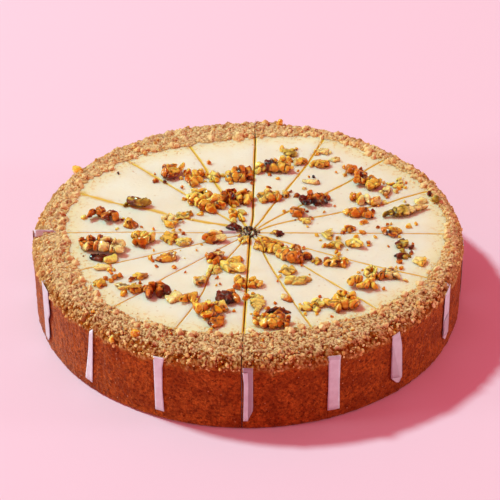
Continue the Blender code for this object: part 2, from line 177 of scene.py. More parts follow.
PLAIN_TABS = (
    ((0, 0, ((0, 42.4, 7.2, 42.4), (0, 24, 7, 24), (0, 6.2, 7.2, 6.2))),),
    ((0, 0, ((-7, 42.6, 0, 42.6), (-7, 24, 0, 24), (-7, 6.4, 0, 6.4))),),
)
FOLDED_CLOCKWISE = (2, 3, 4, 6, 9, 11, 12)

# The walnuts: middle across and away, length, width, height (mm), turn (degrees), form, tone
NUTS = (
    (-47, 63, 17, 11, 7, 30, "cluster", "brown amber"),
    (-33, 57, 15, 12, 7, -70, "cluster", "amber"),
    (-21, 58, 10, 8, 4, 30, "cluster", "yellow"),
    (-5, 59, 18, 13, 8, 10, "half", "amber brown"),
    (-26, 31, 25, 14, 8, -45, "half", "yellow amber"),
    (-6, 33, 19, 15, 9, 10, "cluster", "brown amber"),
    (-7, 15, 13, 11, 6, 80, "cluster", "yellow"),
    (-65, 29, 18, 10, 7, -15, "chunk", "dark olive"),
    (-86, 14, 19, 9, 7, -5, "cluster", "brown"),
    (-70, 7, 12, 10, 7, -40, "chunk", "amber brown"),
    (-62, -10, 17, 11, 7, 20, "cluster", "amber yellow"),
    (-46.5, -7, 12, 9, 5, -10, "chunk", "amber"),
    (-38, 17, 13, 7, 4, 10, "chunk", "yellow"),
    (-45, 9, 14, 9, 4, -35, "cluster", "tan amber"),
    (-86, -18, 28, 10, 8, -12, "half", "brown tan"),
    (-88, -27, 12, 7, 5, 0, "chunk", "dark"),
    (-79, -29, 9, 8, 5, 60, "chip", "yellow"),
    (-38, -12, 13, 8, 5, 15, "chunk", "yellow"),
    (-20, -9, 14, 12, 8, 50, "chunk", "brown tan"),
    (-8, 3, 12, 8, 5, -30, "chunk", "dark"),
    (-3, -10, 10, 7, 5, 50, "chunk", "yellow"),
    (-46, -28, 18, 9, 6, 12, "chunk", "brown amber"),
    (-77, -45, 9, 5, 3, -25, "cluster", "brown"),
    (-61, -46, 12, 6, 4, 0, "chunk", "amber brown"),
    (-72, -56, 11, 6, 4, -5, "chunk", "tan"),
    (-64, -59, 10, 8, 5, 30, "chunk", "amber"),
    (-52, -61, 17, 12, 8, 0, "cluster", "brown dark"),
    (-42, -68, 11, 8, 5, -20, "chip", "tan"),
    (-33, -69, 12, 9, 6, 40, "cluster", "amber"),
    (-22, -80, 19, 12, 7, 10, "cluster", "amber yellow"),
    (-18, -91, 12, 9, 5, 30, "chunk", "brown"),
    (-19, -29, 12, 9, 6, 30, "cluster", "brown tan"),
    (-9, -36, 17, 15, 6, 60, "chunk", "yellow amber"),
    (-27, -51, 13, 7, 5, 60, "chunk", "tan amber"),
    (-20, -41, 14, 7, 5, 65, "chunk", "yellow"),
    (-5, -56, 12, 8, 7, 80, "cluster", "amber"),
    (-11, -68, 14, 12, 7, 20, "cluster", "dark brown"),
    (4, -55, 10, 7, 6, 80, "cluster", "amber"),
    (5, -73, 15, 9, 6, 100, "almond", "yellow"),
    (17, -81, 17, 6, 5, 8, "chunk", "dark brown"),
    (13, -92, 22, 9, 6, -8, "half", "amber brown"),
    (36, -76, 14, 10, 5, 20, "cluster", "yellow"),
    (53, -74, 21, 14, 7, 12, "cluster", "amber"),
    (23, -42, 12, 9, 6, 0, "chunk", "yellow"),
    (28, -52, 20, 7, 5, 10, "chunk", "yellow"),
    (22, -69, 10, 5, 4, -30, "chip", "tan brown"),
    (26, -27, 18, 12, 8, -35, "half", "yellow brown"),
    (12, -18, 17, 11, 7, -15, "half", "amber"),
    (17, -4, 11, 5, 4, -20, "chunk", "amber dark"),
    (50, -34, 14, 8, 6, -10, "half", "amber"),
    (47, -5, 11, 7, 5, 90, "chunk", "yellow"),
    (51, -16, 13, 8, 5, 20, "chunk", "yellow"),
    (62, -15, 13, 8, 6, 0, "chunk", "amber yellow"),
    (85, -3, 13, 9, 7, 10, "chunk", "brown amber"),
    (90, -16, 11, 7, 5, 80, "chunk", "olive dark"),
    (89, -28, 11, 7, 5, 10, "chunk", "dark olive"),
    (99, -33, 10, 8, 5, -50, "chip", "tan amber"),
    (71, -45, 11, 8, 5, 90, "ring", "yellow"),
    (81, -47, 13, 8, 5, -5, "half", "brown tan"),
    (65, -57, 18, 9, 6, -5, "cluster", "amber"),
    (27, 85, 12, 8, 5, -25, "chunk", "olive"),
    (8, 66, 13, 6, 6, 80, "cluster", "yellow"),
    (19, 67, 17, 9, 7, 0, "half", "dark amber"),
    (33, 75, 11, 7, 5, 10, "chunk", "tan amber"),
    (45, 72, 14, 8, 6, -5, "chunk", "amber"),
    (48, 87, 9, 6, 4, -30, "chip", "tan"),
    (40, 52, 13, 5, 4, -20, "chip", "tan dark"),
    (13, 35, 15, 9, 6, 10, "half", "yellow amber"),
    (40, 31, 19, 12, 8, 10, "cluster", "dark brown"),
    (30, 18, 12, 10, 7, -40, "chunk", "brown"),
    (64, 65, 9, 8, 7, 0, "chunk", "brown"),
    (72, 51, 21, 13, 8, -35, "cluster", "brown amber"),
    (85, 42, 12, 6, 5, 80, "chip", "tan"),
    (71, 31, 20, 8, 7, -15, "cluster", "amber tan"),
    (66, 17, 17, 9, 6, -5, "cluster", "amber brown"),
    (94, 17, 25, 8, 6, 18, "almond", "olive tan"),
    (104, 30, 8, 6, 4, 20, "chip", "tan"),
    (92, 50, 11, 8, 4, 30, "cluster", "yellow"),
    (-84, -37, 9, 6, 4, -10, "chip", "tan"),
    (-84, -52, 9, 6, 4, -15, "chunk", "amber"),
    (61, 1, 9, 5, 4, 10, "chunk", "amber brown"),
    (40, -32, 7, 6, 4, 0, "chunk", "amber"),
    (23, 38, 7, 6, 5, 0, "chunk", "tan amber"),
    (35, 9, 7, 6, 4, 20, "chunk", "yellow tan"),
    (55, 77, 7, 5, 4, 0, "chip", "tan"),
)
LOOSE_NUTS = (0, 7, 8, 10, 14, 29, 40, 42, 59, 62, 71, 75)  # those that no cut crosses, by place above
NUT_SUNK = 0.16
NUT_INSET = 0.1 * MM
NUT_SPREAD = 1.1
NUT_FLAT = 0.9
NUT_FOLDS = {"half": 1.1, "cluster": 0.8, "chunk": 0.5, "chip": 0.3, "ring": 0.3, "almond": 0.35}  # mm
NUT_FACETS = {"half": 2, "cluster": 5, "chunk": 6, "chip": 3, "ring": 2, "almond": 1}  # on each lobe
NUT_STEPS = (0.47, 0.53)  # the grid (mm), for small and for other nuts
NUT_SMALL = 11  # up to this length (mm)
NUT_MARGIN = 3.5  # from a nut's outline to the edge of its grid (mm)
NUT_SEED = 700

# The light and the camera that looks at the cake
CAMERA_PLACE = (0, -0.9653, 0.7070)
CAMERA_DOWN = math.radians(34.955)
CAMERA_YAW = math.radians(0.075)
CAMERA_ROLL = math.radians(-0.369)
LENS_MM = 142.06
SENSOR_MM = 36
LAMPS = {  # azimuth and height (degrees), distance and size (m), power (W), colour
    "key": (155, 52, 5, 0.6, 258, (0.45, 0.97, 0.92)),
    "right_fill": (-5, 7, 3, 0.6, 31, (0.7, 1.0, 1.0)),
    "left_fill": (190, 7, 3, 0.6, 38, (0.7, 1.0, 1.0)),
}
AMBIENT = (1.0, 0.2, 0.28, 1)
AMBIENT_STRENGTH = 0.62
FLOOR_REACH = 3


def srgb(red, green, blue):
    """A linear colour from display values out of 255."""
    return tuple(
        value / 255 / 12.92 if value <= 10 else ((value / 255 + 0.055) / 1.055) ** 2.4
        for value in (red, green, blue)
    )


TONES = {  # skin, and flesh where a piece is broken
    "amber": (srgb(212, 106, 0), srgb(255, 200, 76)),
    "yellow": (srgb(244, 162, 14), srgb(255, 224, 116)),
    "brown": (srgb(134, 42, 0), srgb(230, 136, 34)),
    "dark": (srgb(38, 6, 8), srgb(124, 44, 12)),
    "tan": (srgb(222, 152, 60), srgb(255, 224, 146)),
    "olive": (srgb(134, 98, 10), srgb(218, 182, 70)),
}
# the colour of the painted shade in the nuts' grooves
CREVICE_SHADE = srgb(58, 6, 0)

# Noise


def hashed(cells, seed):
    """A random number from 0 to 1 for each cell of a lattice."""
    cells = cells.astype(np.int64)
    mixed = cells[..., 0] * 73856093 ^ cells[..., 1] * 19349663 ^ cells[..., 2] * 83492791 ^ seed * 2654435761
    mixed = (mixed ^ (mixed >> 13)) * 1274126177
    mixed = (mixed ^ (mixed >> 16)) & 0xFFFFFF
    return mixed / 0x1000000


def value_noise(points, span, seed=0):
    """Smooth noise from -1 to 1 whose lumps are about span across."""
    scaled = points / span
    base = np.floor(scaled)
    part = scaled - base
    part = part * part * (3 - 2 * part)
    total = 0
    for corner in np.ndindex(2, 2, 2):
        weight = np.prod(np.where(corner, part, 1 - part), axis=-1)
        total = total + weight * hashed(base + corner, seed)
    return 2 * total - 1


def fractal(points, span, seed=0, octaves=3):
    return sum(value_noise(points, span / 2**step, seed + step) / 2**step for step in range(octaves))


def shifts(points, span, seed):
    """Smooth noise from -1 to 1 in each direction."""
    return np.stack([value_noise(points, span, seed + axis) for axis in range(3)], axis=-1)


def nearest_spot(points, span, seed):
    """The distance to the nearest of scattered spots, in spans, and a number that is each spot's own."""
    scaled = points / span
    base = np.floor(scaled)
    nearest = np.full(len(points), 9.0)
    own = np.zeros(len(points))
    for step in np.ndindex(3, 3, 3):
        cell = base + step - 1
        spot = cell + np.stack([hashed(cell, seed + axis) for axis in range(3)], axis=-1)
        far = np.linalg.norm(scaled - spot, axis=-1)
        closer = far < nearest
        nearest = np.where(closer, far, nearest)
        own = np.where(closer, hashed(cell, seed + 3), own)
    return nearest, own


def smoothstep(low, high, value):
    share = np.clip((value - low) / (high - low), 0, 1)
    return share * share * (3 - 2 * share)


def blend(first, second, share):
    return np.asarray(first) * (1 - share) + np.asarray(second) * share


def turn_matrix(turn):
    """What turns rows of points anticlockwise, seen from above."""
    cos, sin = math.cos(turn), math.sin(turn)
    return np.array([[cos, sin, 0], [-sin, cos, 0], [0, 0, 1]])


# Meshes


def make_piece(name, points, faces, marks, material, smooth=True):
    """A mesh object from an array of points, a list of arrays of faces, and values at the points."""
    mesh = bpy.data.meshes.new(name)
    faces = [np.asarray(block) for block in faces if len(block)]
    corners = np.concatenate([block.ravel() for block in faces])
    sizes = np.concatenate([np.full(len(block), block.shape[1]) for block in faces])
    starts = np.concatenate([[0], np.cumsum(sizes)[:-1]])
    mesh.vertices.add(len(points))
    mesh.vertices.foreach_set("co", np.asarray(points, np.float32).ravel())
    mesh.loops.add(len(corners))
    mesh.loops.foreach_set("vertex_index", corners.astype(np.int32))
    mesh.polygons.add(len(sizes))
    mesh.polygons.foreach_set("loop_start", starts.astype(np.int32))
    mesh.polygons.foreach_set("use_smooth", np.full(len(sizes), smooth))
    mesh.update(calc_edges=True)
    for mark, values in marks.items():
        values = np.asarray(values, np.float32)
        if values.ndim == 2:
            values = np.column_stack([values, np.ones(len(values), np.float32)])
            mesh.attributes.new(mark, "FLOAT_COLOR", "POINT").data.foreach_set("color", values.ravel())
        else:
            mesh.attributes.new(mark, "FLOAT", "POINT").data.foreach_set("value", values)
    mesh.validate()
    mesh.materials.append(material)
    piece = bpy.data.objects.new(name, mesh)
    bpy.context.scene.collection.objects.link(piece)
    return piece


def turn_out(piece):
    """Makes all the faces of a closed piece look outwards."""
    bm = bmesh.new()
    bm.from_mesh(piece.data)
    bmesh.ops.recalc_face_normals(bm, faces=bm.faces)
    bm.to_mesh(piece.data)
    bm.free()


def add_piece(name, shape, material, slot, *nodes, smooth=True):
    """Puts a piece on the cake from its points, faces and marks, in the place of the nodes."""
    piece = make_piece(name, *shape, material, smooth)
    if nodes:  # the loose lumps look outwards already
        turn_out(piece)
    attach(piece, "root")
    if nodes:
        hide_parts(*nodes)


def joined(parts):
    """One shape, as points, faces and marks, from several that have the same marks."""
    points, faces, marks = [], [], {}
    count = 0
    for part_points, part_faces, part_marks in parts:
        points.append(part_points)
        faces.extend(block + count for block in part_faces)
        for mark, values in part_marks.items():
            marks.setdefault(mark, []).append(values)
        count += len(part_points)
    return np.concatenate(points), faces, {mark: np.concatenate(values) for mark, values in marks.items()}


def grid_faces(rows, columns):
    """Quads over a grid of points that is stored row by row."""
    corner = (np.arange(rows - 1)[:, None] * columns + np.arange(columns - 1)).ravel()
    return np.stack([corner, corner + 1, corner + columns + 1, corner + columns], axis=1)


def ring_faces(first, second):
    """Quads between two closed rings of points."""
    return np.stack([first, np.roll(first, -1), np.roll(second, -1), second], axis=1)


def grid_border(rows, columns):
    """The points round the edge of a grid, in order."""
    return np.concatenate([
        np.arange(columns),
        columns * np.arange(1, rows) + columns - 1,
        (rows - 1) * columns + np.arange(columns - 2, -1, -1),
        columns * np.arange(rows - 2, 0, -1),
    ])


# Where the cuts run


def cut_azimuth(cut):
    return math.radians(FIRST_CUT_DEG + cut * 360 / SLICES + CUT_DRIFT_DEG[cut % SLICES])


def off_middle(cut):
    azimuth = cut_azimuth(cut)
    return HUB[1] * math.cos(azimuth) - HUB[0] * math.sin(azimuth)


def wander(cut, radius):
    """How far a cut strays from its line: a smooth curve through its row of CUT_WANDER."""
    if cut % SLICES not in CUT_WANDER:
        return 0 * np.asarray(radius)
    strays = np.array(CUT_WANDER[cut % SLICES]) * MM
    slopes = np.gradient(strays, WANDER_RADII)
    step = np.clip(np.searchsorted(WANDER_RADII, radius) - 1, 0, len(strays) - 2)
    gap = WANDER_RADII[step + 1] - WANDER_RADII[step]
    t = np.clip((radius - WANDER_RADII[step]) / gap, 0, 1)
    start = (1 + 2 * t) * (1 - t) ** 2 * strays[step] + t * (1 - t) ** 2 * gap * slopes[step]
    stop = t**2 * (3 - 2 * t) * strays[step + 1] + t**2 * (t - 1) * gap * slopes[step + 1]
    return start + stop


def slice_azimuth(index, share, radius, gaps=CRUST_GAP):
    """The azimuths at shares of the way across a slice, where half of each cut is one of the gaps."""
    low, high = (
        cut_azimuth(cut) + np.arcsin(
            off_middle(cut) / CAKE_RADIUS
            + (side * gaps[cut % SLICES in WIDE_CUTS] + wander(cut, radius)) / radius
        )
        for cut, side in ((index, 1), (index + 1, -1))
    )
    return low + share * (high - low)


def polar(radius, azimuth, height):
    """Points from arrays or numbers."""
    radius, azimuth, height = np.broadcast_arrays(radius, azimuth, height)
    return np.stack([radius * np.cos(azimuth), radius * np.sin(azimuth), height], axis=-1)


def ring_point(radius, azimuth, height):
    """Points of a slice: the rings are round the cake's middle at the wall and round the hub inside."""
    shift = 1 - np.asarray(radius) / CAKE_RADIUS
    return polar(radius, azimuth, height) + HUB * shift[..., None]


# The band of crumbs


def lip_width(azimuth):
    """As in the solids, for an array of azimuths."""
    places = polar(CAKE_RADIUS, azimuth, 0) / LIP_RAGGED_SPAN
    ragged = np.array([noise.noise(Vector(place)) for place in places])
    turn = np.degrees(azimuth) % 360 * SLICES / 360
    width = np.interp(turn, np.arange(SLICES + 1), (*LIP_WIDTHS, LIP_WIDTHS[0])) * MM
    return np.maximum(LIP_LEAST, width + LIP_RAGGED * ragged)


def crag(places):
    """The solids' clumps and hollows."""
    heights = []
    for place in places:
        place = Vector(place)
        clump = max(0, 1 - 2 * noise.voronoi(place / CLUMP_SPAN)[0][0])
        heights.append(CLUMP_HEIGHT * (clump - 0.3) + CRAG_HEIGHT * noise.noise(place / CRAG_SPAN))
    return np.array(heights)


def band_top(far, azimuth, width):
    """The band's height before its grains, at shares of its width from the wall inwards, and its
    slope there as an angle from level."""
    full = SHOULDER[-1][0] * MM
    narrow = np.minimum(1, SHOULDER_MOST * width / full)
    inwards = [reach * MM * narrow for reach, _ in SHOULDER]
    inwards += [full * narrow + part * (width - full * narrow) for part, _ in LIP_RISES]
    inwards = np.stack([*inwards, width])
    rises = [rise * MM for _, rise in SHOULDER + LIP_RISES]
    rises = np.array([*rises, FILLING_TOP + LIP_THIN - WALL_TOP])
    place = far * width
    step = (inwards[1:-1] < place).sum(axis=0)
    column = np.arange(len(place))
    low, high = inwards[step, column], inwards[step + 1, column]
    slope = (rises[step + 1] - rises[step]) / (high - low)
    rise = rises[step] + slope * (place - low)
    weight = np.interp(far, (0, 0.06, 0.8, 1), (0.5, 1, 1, 0.1))
    height = WALL_TOP + rise + weight * crag(polar(CAKE_RADIUS - place, azimuth, 0))
    middle, far_in, depth, reach = HOLLOW
    turn = (azimuth - math.radians(middle) + math.pi) % TAU - math.pi
    apart = np.hypot(turn * CAKE_RADIUS, place - far_in * MM)
    height = height - depth * MM * np.exp(-((apart / (reach * MM)) ** 2))
    floor = np.where(place > WALL_THICKNESS, FILLING_TOP + LIP_THIN, WALL_TOP + 0.35 * rise)
    return np.maximum(height, floor), np.arctan(slope)


def on_band(index, share, far, width):
    """Radii, azimuths, heights and slopes at shares of a slice and of the band's width there."""
    radius = CAKE_RADIUS - far * width
    azimuth = slice_azimuth(index, share, radius)
    return radius, azimuth, *band_top(np.clip(far, 0, 1), azimuth, width)


def grains(places, distance):
    """How far the crumbs stand out, in metres, how far down in the gaps and pits a place is, 0 to 1, which is
    painted as shade, and its crumb's tone: clumps with deep gaps near the wall, and fine grains with small
    pits further in."""
    outer = smoothstep(11 * MM, 5 * MM, distance)
    near, own = nearest_spot(places + 0.8 * MM * shifts(places, 3 * MM, 3), LUMP_SPAN, 11)
    middle, middle_own = nearest_spot(places, GRAIN_SPAN, 17)
    fine, fine_own = nearest_spot(places, FINE_SPAN, 23)
    pit, pit_own = nearest_spot(places, PIT_SPAN, 29)
    hole = smoothstep(0.45, 0.18, pit) * (pit_own < 0.6)
    lump = np.sqrt(np.clip(1 - 1.2 * near**2, 0, 1)) - 0.6
    out = LUMP_HEIGHT * lump * (0.2 + 0.8 * outer) * (0.6 + 0.8 * own) - PIT_DEPTH * hole
    for height, apart, its_own in ((GRAIN_HEIGHT, middle, middle_own), (FINE_HEIGHT, fine, fine_own)):
        out += height * (0.6 - 1.7 * apart**2) * (0.4 + 1.1 * its_own)
    # painted shade: darker down in the gaps between lumps and grains and in the pits
    dip = smoothstep(0.48, 0.78, near) * outer + 0.75 * smoothstep(0.42, 0.75, middle) + 0.9 * hole
    dip = dip + 0.4 * smoothstep(0.4, 0.75, fine)
    return out, np.clip(dip, 0, 1), 0.55 * middle_own + 0.45 * own


def crust_slice(index):
    """Rows of points round a slice's crust: along the base, over the band, down the wall and back."""
    share = np.linspace(0, 1, ACROSS + 1)
    inner_wall = CAKE_RADIUS - WALL_THICKNESS
    across_band = slice_azimuth(index, share, CAKE_RADIUS - LIP_MIDDLE)
    depth, span = RAGGED_EDGE
    width = lip_width(across_band) + depth * fractal(polar(CAKE_RADIUS, across_band, 0), span, 5, 2)
    underside = FILLING_TOP - CRUMB_SUNK
    rows, marks = [], {}

    def add_row(radius, height, band, dip, tone=0.5):
        rows.append(ring_point(radius, slice_azimuth(index, share, radius), height))
        outer = smoothstep(CAKE_RADIUS - 7 * MM, CAKE_RADIUS - MM, radius)
        thin = smoothstep(4.5 * MM, 0, radius - (CAKE_RADIUS - width))
        # painted shade: the gaps between crumbs are darker towards the front, where the light falls from
        # behind them
        backlit_front = smoothstep(-30 * MM, -90 * MM, rows[-1][:, 1])
        dip = np.clip(dip * (0.62 + (0.5 + 0.4 * outer) * backlit_front), 0, 1)
        for mark, value in (("band", band), ("dip", dip), ("tone", tone), ("outer", outer), ("thin", thin)):
            marks.setdefault(mark, []).append(np.broadcast_to(value, share.shape))

    for radius in np.linspace(HUB_RADIUS, inner_wall, BASE_ROWS):
        add_row(radius, BASE_THICKNESS, 0, 1)
    add_row(inner_wall, underside, 0, 1)
    add_row(CAKE_RADIUS - width, underside, 1, 1)
    for step in np.linspace(1, 0, BAND_ROWS):
        radius, azimuth, height, slope = on_band(index, share, step, width)
        out, dip, own = grains(ring_point(radius, azimuth, height), step * width)
        out = out * np.interp(step, (0, 0.06, 0.85, 1), (0.8, 1, 1, 0.5))
        least = underside if step > 0.35 else WALL_TOP - MM
        add_row(radius + out * np.sin(slope), np.maximum(height + out * np.cos(slope), least), 1, dip, own)
    depth, span = LOWER_EDGE
    for height in np.linspace(WALL_ROWS_TOP, FOOT_BEVEL, WALL_ROWS):
        flat = polar(CAKE_RADIUS, slice_azimuth(index, share, CAKE_RADIUS), height)
        out, dip, own = grains(flat, 0)
        edge = WALL_TOP - LOWER_REACH + depth * fractal(flat * (1, 1, 0), span, 31, 4)
        band = smoothstep(-1.5 * MM, 1.3 * MM, height - edge + 1.1 * MM * fractal(flat, 2.4 * MM, 37, 2))
        rough = 0.3 * MM * (fractal(flat, 1.8 * MM, 41) + value_noise(flat, 14 * MM, 43))
        add_row(CAKE_RADIUS + rough + band * 0.75 * out, height, band, band * dip, own)
    for radius in np.linspace(CAKE_RADIUS - FOOT_BEVEL, HUB_RADIUS, BASE_ROWS):
        add_row(radius, 0, 0, 0)
    columns = ACROSS + 1
    first = np.arange(columns)
    last = first + (len(rows) - 1) * columns
    faces = [grid_faces(len(rows), columns), np.stack([last[:-1], last[1:], first[1:], first[:-1]], axis=1)]
    faces.extend((column + columns * np.arange(len(rows)))[None] for column in (0, ACROSS))
    return np.concatenate(rows), faces, {mark: np.concatenate(values) for mark, values in marks.items()}


# Loose crumbs and bits


def ball(level):
    """The points and faces of a unit ball with 20, 80 or 320 faces."""
    bm = bmesh.new()
    bmesh.ops.create_icosphere(bm, subdivisions=level, radius=1)
    points = np.array([vert.co for vert in bm.verts])
    faces = np.array([[vert.index for vert in face.verts] for face in bm.faces])
    bm.free()
    return points, faces


def turned(points, draw):
    """Each of a set of lumps turned at random."""
    quats = draw.normal(size=(len(points), 1, 4))
    quats /= np.linalg.norm(quats, axis=-1, keepdims=True)
    axis = quats[..., 1:]
    twist = 2 * np.cross(axis, points)
    return points + quats[..., :1] * twist + np.cross(axis, twist)


def lumps(middles, sizes, draw, level, rough, squash=0.75):
    """Uneven lumps at the middles, and which lump each point is in."""
    shape, faces = ball(level)
    count = len(middles)
    seeds = draw.uniform(0, 500, size=(count, 1, 3))
    bumps = fractal((shape[None] + seeds).reshape(-1, 3), 0.9, 0, level).reshape(count, -1)
    axes = draw.uniform(squash, 1.15, size=(count, 1, 3))
    points = shape[None] * (1 + rough * bumps[..., None]) * axes
    points = turned(points, draw) * sizes[:, None, None] + middles[:, None, :]
    offsets = np.arange(count)[:, None, None] * len(shape)
    which = np.repeat(np.arange(count), len(shape))
    return points.reshape(-1, 3), (faces[None] + offsets).reshape(-1, 3), which


def crumb_places(index, count, draw):
    """Middles and radii for a slice's crumbs, thick on the band and thinning out on the filling inside it,
    and which of them are strays."""
    share = draw.uniform(-0.01, 1.01, count)
    width = lip_width(slice_azimuth(index, share, CAKE_RADIUS - LIP_MIDDLE))
    stray = draw.uniform(size=count) < STRAY_SHARE
    far = np.where(stray, 1 + draw.exponential(3.2 * MM, count) / width, draw.uniform(0, 1, count))
    size = np.exp(draw.normal(math.log(CRUMB_MEDIAN), CRUMB_SPREAD, count)) * MM
    size *= np.interp(far * width, (0, 6 * MM, 10 * MM), (1.25, 1.1, 0.8))
    size = np.clip(np.where(stray, 0.8 * size, size), 0.2 * MM, 1.8 * MM)
    radius, azimuth, height, _ = on_band(index, share, far, width)
    lift = np.interp(far * width, (0, 3 * MM), (-0.6, 0)) + draw.uniform(-0.4, 0.3, count)
    height = np.where(far > 1, FILLING_TOP - 0.25 * size, height + lift * size)
    return ring_point(radius, azimuth, height), size, stray


def clump_places(index, count, draw):
    """The same for the pale clumps that lie along the band's inner edge."""
    share = draw.uniform(0.02, 0.98, count)
    width = lip_width(slice_azimuth(index, share, CAKE_RADIUS - LIP_MIDDLE))
    far = 1 - (np.abs(draw.normal(0, 3, count)) - 0.8) * MM / width
    size = draw.uniform(1.1, 2.1, count) * MM
    radius, azimuth, height, _ = on_band(index, share, far, width)
    return ring_point(radius, azimuth, height + 0.05 * size), size


def edge_places(index, count, draw):
    """The same for the crumbs that hang over the top edge of the wall, tucked in where paper may lie."""
    share = draw.uniform(0.01, 0.99, count)
    far = draw.uniform(-2.4, 5, count) * MM
    size = draw.uniform(0.5, 1.3, count) * MM
    tucked = np.abs(share - 0.5) > 0.26
    radius = CAKE_RADIUS - np.where(tucked, 0.95, 0.35) * size - np.maximum(far, 0)
    azimuth = slice_azimuth(index, share, radius)
    width = lip_width(azimuth)
    height, _ = band_top(np.clip(far / width, 0, 1), azimuth, width)
    return ring_point(radius, azimuth, np.where(far < 0, WALL_TOP + far, height - 0.2 * size)), size


# Walnuts


def surface_of(field, low, step):
    """The surface where a field on a grid is zero: one point in each cell that it crosses."""
    cells = tuple(size - 1 for size in field.shape)
    total = np.zeros(cells + (3,))
    crossings = np.zeros(cells)
    quads = []
    for axis in range(3):
        first, second = np.delete(field, -1, axis), np.delete(field, 0, axis)
        crossed = (first < 0) != (second < 0)
        first, second = first[crossed], second[crossed]
        where = np.argwhere(crossed)
        spot = where.astype(float)
        spot[:, axis] += first / (first - second)
        around = where - np.insert(list(np.ndindex(2, 2)), axis, 0, axis=1)[:, None]
        fits = np.all((around >= 0) & (around < cells), axis=-1)
        np.add.at(total, tuple(around[fits].T), np.broadcast_to(spot, around.shape)[fits])
        np.add.at(crossings, tuple(around[fits].T), 1)
        whole = fits.all(axis=0)
        quad = np.ravel_multi_index(tuple(np.moveaxis(around[[0, 1, 3, 2]][:, whole], -1, 0)), cells).T
        flip = (first[whole] < 0) != (axis == 1)
        quads.append(np.where(flip[:, None], quad, quad[:, ::-1]))
    used = crossings > 0
    numbers = np.cumsum(used.ravel()) - 1
    return total[used] / crossings[used][:, None] * step + low, numbers[np.concatenate(quads)]


def blob_shape(form, length, width, height, draw):
    """The lobes of a nut, as middles, radii, turns and facets, and the planes where the whole is broken
    off, in mm. A facet is a direction and how far out it lies, in its lobe's radii."""
    lobes, planes = [], []
    half_length, half_width = length / 2, width / 2

    def lobe(x, y, z, a, b, c, turn=0.0):
        facets = []
        for _ in range(NUT_FACETS[form]):
            around, rise = draw.uniform(0, TAU), draw.uniform(-0.2, 1)
            level = math.sqrt(1 - rise * rise)
            facets.append((level * math.cos(around), level * math.sin(around), rise, draw.uniform(0.5, 0.88)))
        lobes.append(((x, y, z), (max(a, 1.0), max(b, 1.0), max(c, 1.0)), turn, facets))

    def broken_side(low, high, tilt):
        turn = draw.uniform(0, TAU)
        planes.append((math.cos(turn) / half_length, math.sin(turn) / half_width, draw.uniform(*tilt),
                       draw.uniform(low, high)))

    def broken_top(share):
        turn, lean = draw.uniform(0, TAU), draw.uniform(0.1, 0.4) / half_width
        planes.append((lean * math.cos(turn), lean * math.sin(turn), 1 / height, share))

    def scattered(count, spread):
        """Lobes that are spread over the nut's outline."""
        radius = 0.6 * math.sqrt(length * width / count)
        for step in range(count):
            angle = step * 2.4 + draw.uniform(-0.4, 0.4)
            far = spread * math.sqrt((step + 0.5) / count)
            lobe(
                half_length * far * math.cos(angle),
                half_width * far * math.sin(angle),
                height * draw.uniform(0.3, 0.56),
                radius * draw.uniform(0.7, 1.3),
                radius * draw.uniform(0.55, 0.9),
                height * draw.uniform(0.34, 0.52),
                draw.uniform(0, math.pi),
            )

    if form == "half":
        ridges = max(2, round(length / 5.2))
        for side in (-1, 1):
            for step in range(ridges):
                along = (2 * step + 1 + draw.uniform(-0.3, 0.3)) / ridges - 1
                narrow = math.sqrt(1 - 0.6 * along * along)
                lobe(
                    along * (half_length - 1.4),
                    side * draw.uniform(0.42, 0.58) * half_width * narrow,
                    height * draw.uniform(0.42, 0.54) * narrow,
                    draw.uniform(2.2, 3.6),
                    draw.uniform(0.5, 0.62) * half_width * narrow,
                    0.46 * height * narrow,
                    side * along * 0.7 + draw.uniform(-0.4, 0.4),
                )
        lobe(0, 0, 0.34 * height, 0.8 * half_length, 0.7 * half_width, 0.38 * height)
        broken_side(0.86, 1.0, (0, 0.05))
    elif form == "cluster":
        scattered(max(4, round(length * width / 30)), 0.8)
    elif form == "ring":
        for step in range(9):
            angle = step * TAU / 9
            lobe(
                0.62 * half_length * math.cos(angle),
                0.62 * half_width * math.sin(angle),
                height * draw.uniform(0.4, 0.6),
                0.33 * half_length,
                0.33 * half_width,
                height * draw.uniform(0.35, 0.5),
            )
    elif form == "almond":
        for step in range(7):
            t = step / 3 - 1
            lobe(
                t * half_length * 0.78,
                0.24 * half_width * t * t,
                0.42 * height,
                0.34 * half_length,
                half_width * (0.92 - 0.6 * abs(t) ** 1.6),
                height * (0.5 - 0.18 * abs(t)),
            )
        broken_top(0.7)
    elif form == "chip":
        lobe(0, 0, 0.4 * height, 1.05 * half_length, 1.05 * half_width, 0.6 * height)
        for _ in range(4):
            broken_side(0.6, 0.9, (-0.06, 0.08))
        broken_top(0.68)
    else:
        scattered(3, 0.5)
        lobe(0, 0, 0.36 * height, 0.86 * half_length, 0.8 * half_width, 0.48 * height)
        for _ in range(3):
            broken_side(0.68, 0.92, (-0.04, 0.08))
        broken_top(0.8)
    return lobes, planes


